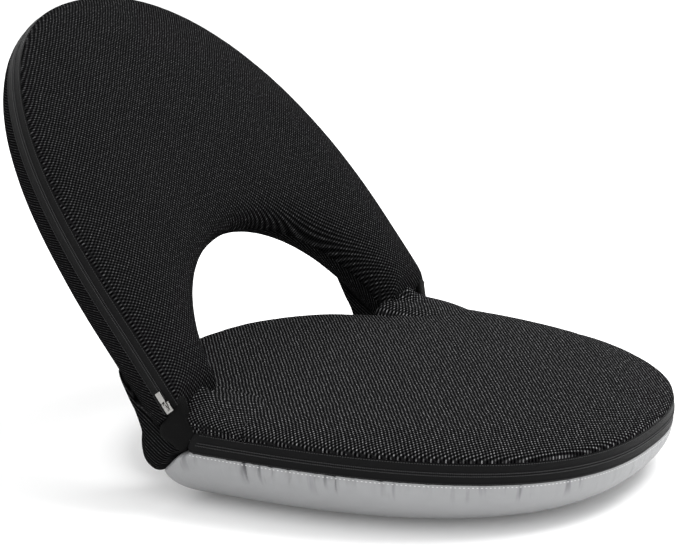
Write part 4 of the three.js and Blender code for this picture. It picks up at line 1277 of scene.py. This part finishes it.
def pressed_out(stand_in, pinned):
    """Where the points of a stand-in lie once its stuffing has pressed it out as cloth."""
    pins = stand_in.vertex_groups.new(name="pins")
    for index in np.nonzero(pinned)[0]:
        pins.add([int(index)], 1.0, "REPLACE")
    cloth = stand_in.modifiers.new("cloth", "CLOTH")
    cloth.settings.quality = CLOTH_QUALITY
    cloth.settings.mass = CLOTH_MASS
    cloth.settings.tension_stiffness = CLOTH_STRETCH
    cloth.settings.compression_stiffness = CLOTH_STRETCH
    cloth.settings.shear_stiffness = CLOTH_SHEAR
    cloth.settings.bending_stiffness = CLOTH_BEND
    cloth.settings.air_damping = CLOTH_DAMPING
    cloth.settings.use_pressure = True
    cloth.settings.uniform_pressure_force = STUFFING_PRESSURE
    cloth.settings.vertex_group_mass = "pins"
    cloth.settings.effector_weights.gravity = 0
    cloth.collision_settings.use_collision = False
    cloth.point_cache.frame_start = 1
    cloth.point_cache.frame_end = SETTLE_FRAMES
    for step in range(1, SETTLE_FRAMES + 1):
        bpy.context.scene.frame_set(step)
    depsgraph = bpy.context.evaluated_depsgraph_get()
    end = coordinates(stand_in.evaluated_get(depsgraph).to_mesh())
    bpy.context.scene.frame_set(1)
    return end


def carried(places, start, moved):
    """How far places are carried by the cloth's points near them, the nearer ones counting for more."""
    tree = KDTree(len(start))
    for index, place in enumerate(start):
        tree.insert(place, index)
    tree.balance()
    shifts = np.zeros_like(places)
    for index, place in enumerate(places):
        near = tree.find_n(place, CARRY_POINTS)
        weights = np.array([1 / (distance + CARRY_SOFTNESS) ** 2 for _, _, distance in near])
        shifts[index] = weights @ moved[[i for _, i, _ in near]] / weights.sum()
    return shifts


def settle(piece, held):
    """Presses a stand-in for the piece out as cloth, and moves the piece's points as it moved."""
    stand_in = voxel_copy(piece)
    start = coordinates(stand_in.data)
    moved = pressed_out(stand_in, held(start)) - start
    bpy.data.objects.remove(stand_in)
    length = np.linalg.norm(moved, axis=1)[:, None]
    moved *= np.minimum(1, SETTLE_REACH / np.maximum(length, 1e-9))
    places = coordinates(piece.data)
    shifts = carried(places, start, moved)
    shifts[held(places)] = 0
    piece.data.vertices.foreach_set("co", (places + shifts).ravel())
    piece.data.update()


def seat_held(points):
    """The seat's cover is held at the band, round the lobe's edge and in the creases."""
    rise = points[:, 2] - AXIS[2] - droop(points[:, 1] - AXIS[1])
    beside_hinge = (points[:, 1] > AXIS[1] + SEAT_HELD_REAR) & (np.abs(points[:, 0]) > SEAT_HELD_SIDE)
    return (rise < BAND_HIGH + SEAT_HELD_ABOVE) | beside_hinge


def back_held(points):
    """The backrest's covers are held at the band, at the window seam and at the feet of the legs."""
    y, z = points[:, 1] - AXIS[1], points[:, 2] - AXIS[2]
    up = y * math.cos(BACK_RAISE) + z * math.sin(BACK_RAISE)
    proud = -y * math.sin(BACK_RAISE) + z * math.cos(BACK_RAISE) - bow(up)
    at_seams = (proud > BAND_LOW - BACK_HELD_PAST) & (proud < BAND_HIGH + BACK_HELD_PAST)
    return at_seams | (up < BACK_HELD_FOOT)


# Stage


def make_stage():
    """A wide pale floor that keeps the chair's shadow."""
    scene = bpy.context.scene
    scene.view_settings.view_transform = "Standard"
    mesh = bpy.data.meshes.new("floor")
    corners = [(x * FLOOR_HALF, y * FLOOR_HALF, 0) for x, y in ((-1, -1), (1, -1), (1, 1), (-1, 1))]
    mesh.from_pydata(corners, [], [(0, 1, 2, 3)])
    floor = bpy.data.objects.new("floor", mesh)
    scene.collection.objects.link(floor)
    made = bpy.data.materials.new("pale_floor")
    made.use_nodes = True
    tree = made.node_tree
    tree.nodes.clear()
    output = tree.nodes.new("ShaderNodeOutputMaterial")
    diffuse = tree.nodes.new("ShaderNodeBsdfDiffuse")
    diffuse.inputs["Color"].default_value = FLOOR_COLOUR
    glow = tree.nodes.new("ShaderNodeEmission")
    tree.links.new(times(tree, seen_rays(tree), FLOOR_GLOW), glow.inputs["Strength"])
    both = tree.nodes.new("ShaderNodeAddShader")
    tree.links.new(diffuse.outputs[0], both.inputs[0])
    tree.links.new(glow.outputs[0], both.inputs[1])
    tree.links.new(both.outputs[0], output.inputs[0])
    mesh.materials.append(made)


def seen_rays(tree):
    """One for rays from the camera, a reflection or glass, and nothing for the rest."""
    path = tree.nodes.new("ShaderNodeLightPath")
    camera_or_glossy = maths(tree, "MAXIMUM", path.outputs["Is Camera Ray"], path.outputs["Is Glossy Ray"])
    return maths(tree, "MAXIMUM", camera_or_glossy, path.outputs["Is Transmission Ray"])


def make_world():
    """Soft light from all round, brighter from overhead, with white where the world itself is seen."""
    world = bpy.data.worlds.new("studio")
    bpy.context.scene.world = world
    world.use_nodes = True
    tree = world.node_tree
    tree.nodes.clear()
    output = tree.nodes.new("ShaderNodeOutputWorld")
    background = tree.nodes.new("ShaderNodeBackground")
    background.inputs["Color"].default_value = (1, 1, 1, 1)
    way = tree.nodes.new("ShaderNodeTexCoord").outputs["Generated"]
    apart = tree.nodes.new("ShaderNodeSeparateXYZ")
    tree.links.new(way, apart.inputs[0])
    overhead = times(tree, maths(tree, "MAXIMUM", apart.outputs[2], 0.0), WORLD_OVERHEAD)
    strength = maths(tree, "MAXIMUM", seen_rays(tree), plus(tree, overhead, WORLD_SIDES))
    tree.links.new(strength, background.inputs["Strength"])
    tree.links.new(background.outputs[0], output.inputs[0])


def area_light(name, place, target, size, power):
    """A square lamp that looks at a target."""
    data = bpy.data.lights.new(name, "AREA")
    data.size = size
    data.energy = power
    lamp = bpy.data.objects.new(name, data)
    lamp.location = place
    lamp.rotation_mode = "QUATERNION"
    lamp.rotation_quaternion = (Vector(target) - Vector(place)).to_track_quat("-Z", "Y")
    bpy.context.scene.collection.objects.link(lamp)


def make_camera():
    """The camera at the photograph's place and angle."""
    azimuth, elevation = math.radians(CAMERA_AZIMUTH), math.radians(CAMERA_ELEVATION)
    level = math.cos(elevation)
    back = Vector((math.sin(azimuth) * level, -math.cos(azimuth) * level, math.sin(elevation)))
    data = bpy.data.cameras.new("camera")
    data.sensor_width = CAMERA_SENSOR
    data.lens = CAMERA_LENS
    camera = bpy.data.objects.new("camera", data)
    camera.location = CAMERA_PLACE
    camera.rotation_mode = "QUATERNION"
    camera.rotation_quaternion = (-back).to_track_quat("-Z", "Y")
    bpy.context.scene.collection.objects.link(camera)
    bpy.context.scene.camera = camera


make_camera()
make_world()
make_stage()
area_light("key", place=(0.9, -1.2, 2.5), target=(0, 0, 0.1), size=1.3, power=50)
area_light("rim", place=(1.6, 1.2, 1.8), target=(0, 0, 0.2), size=1.4, power=24)
area_light("front", place=(-1.8, -2.4, 1.0), target=(0, -0.1, 0.1), size=1.6, power=9)

cushion = make_seat_cushion()
base = make_seat_base()
zip_band = make_seat_zip_band()
rear_strip = make_seat_strip()
front = make_backrest_front()
rear = make_backrest_rear()
back_band = make_backrest_band()
settle(cushion, seat_held)
settle(front, back_held)
settle(rear, back_held)

for piece, slot, *nodes in (
    (cushion, "mesh", "seat_top_cover", "seat_foam"),
    (base, "base_cloth", "seat_base_cover"),
    (zip_band, "zip_tape", "seat_zip_tape", "seat_zip_coil"),
    (rear_strip, "mesh", "seat_rear_band"),
):
    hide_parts(*nodes)
    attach(piece, "seat")
for piece, slot, *nodes in (
    (front, "mesh", "backrest_front_cover", "backrest_foam"),
    (rear, "mesh", "backrest_rear_cover"),
    (back_band, "zip_tape", "backrest_zip_tape", "backrest_zip_coil"),
):
    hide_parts(*nodes)
    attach(piece, "backrest")

for side, name in ((-1, "left"), (1, "right")):
    crease, boot, cloth = make_corner(side, name)
    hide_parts(f"{name}_hinge_gusset")
    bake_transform(crease)
    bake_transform(boot)
    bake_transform(cloth)

for piece, slot, body in make_teeth_and_stitches():
    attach(piece, body)

for node in ("backrest_zip_slider", "backrest_zip_pull", "seat_zip_slider", "seat_zip_pull"):
    piece = rounded_copy(frame["nodes"][node], f"{node}_rounded", METAL_EDGE)
    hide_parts(node)
    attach(piece, node)

for node, obj in frame["nodes"].items():
    finish = NICKEL if "slider" in node or "pull" in node else ZINC
    if "tube" in node or "crossbar" in node:
        finish = POWDER
    obj.data.materials.clear()
    obj.data.materials.append(finish)
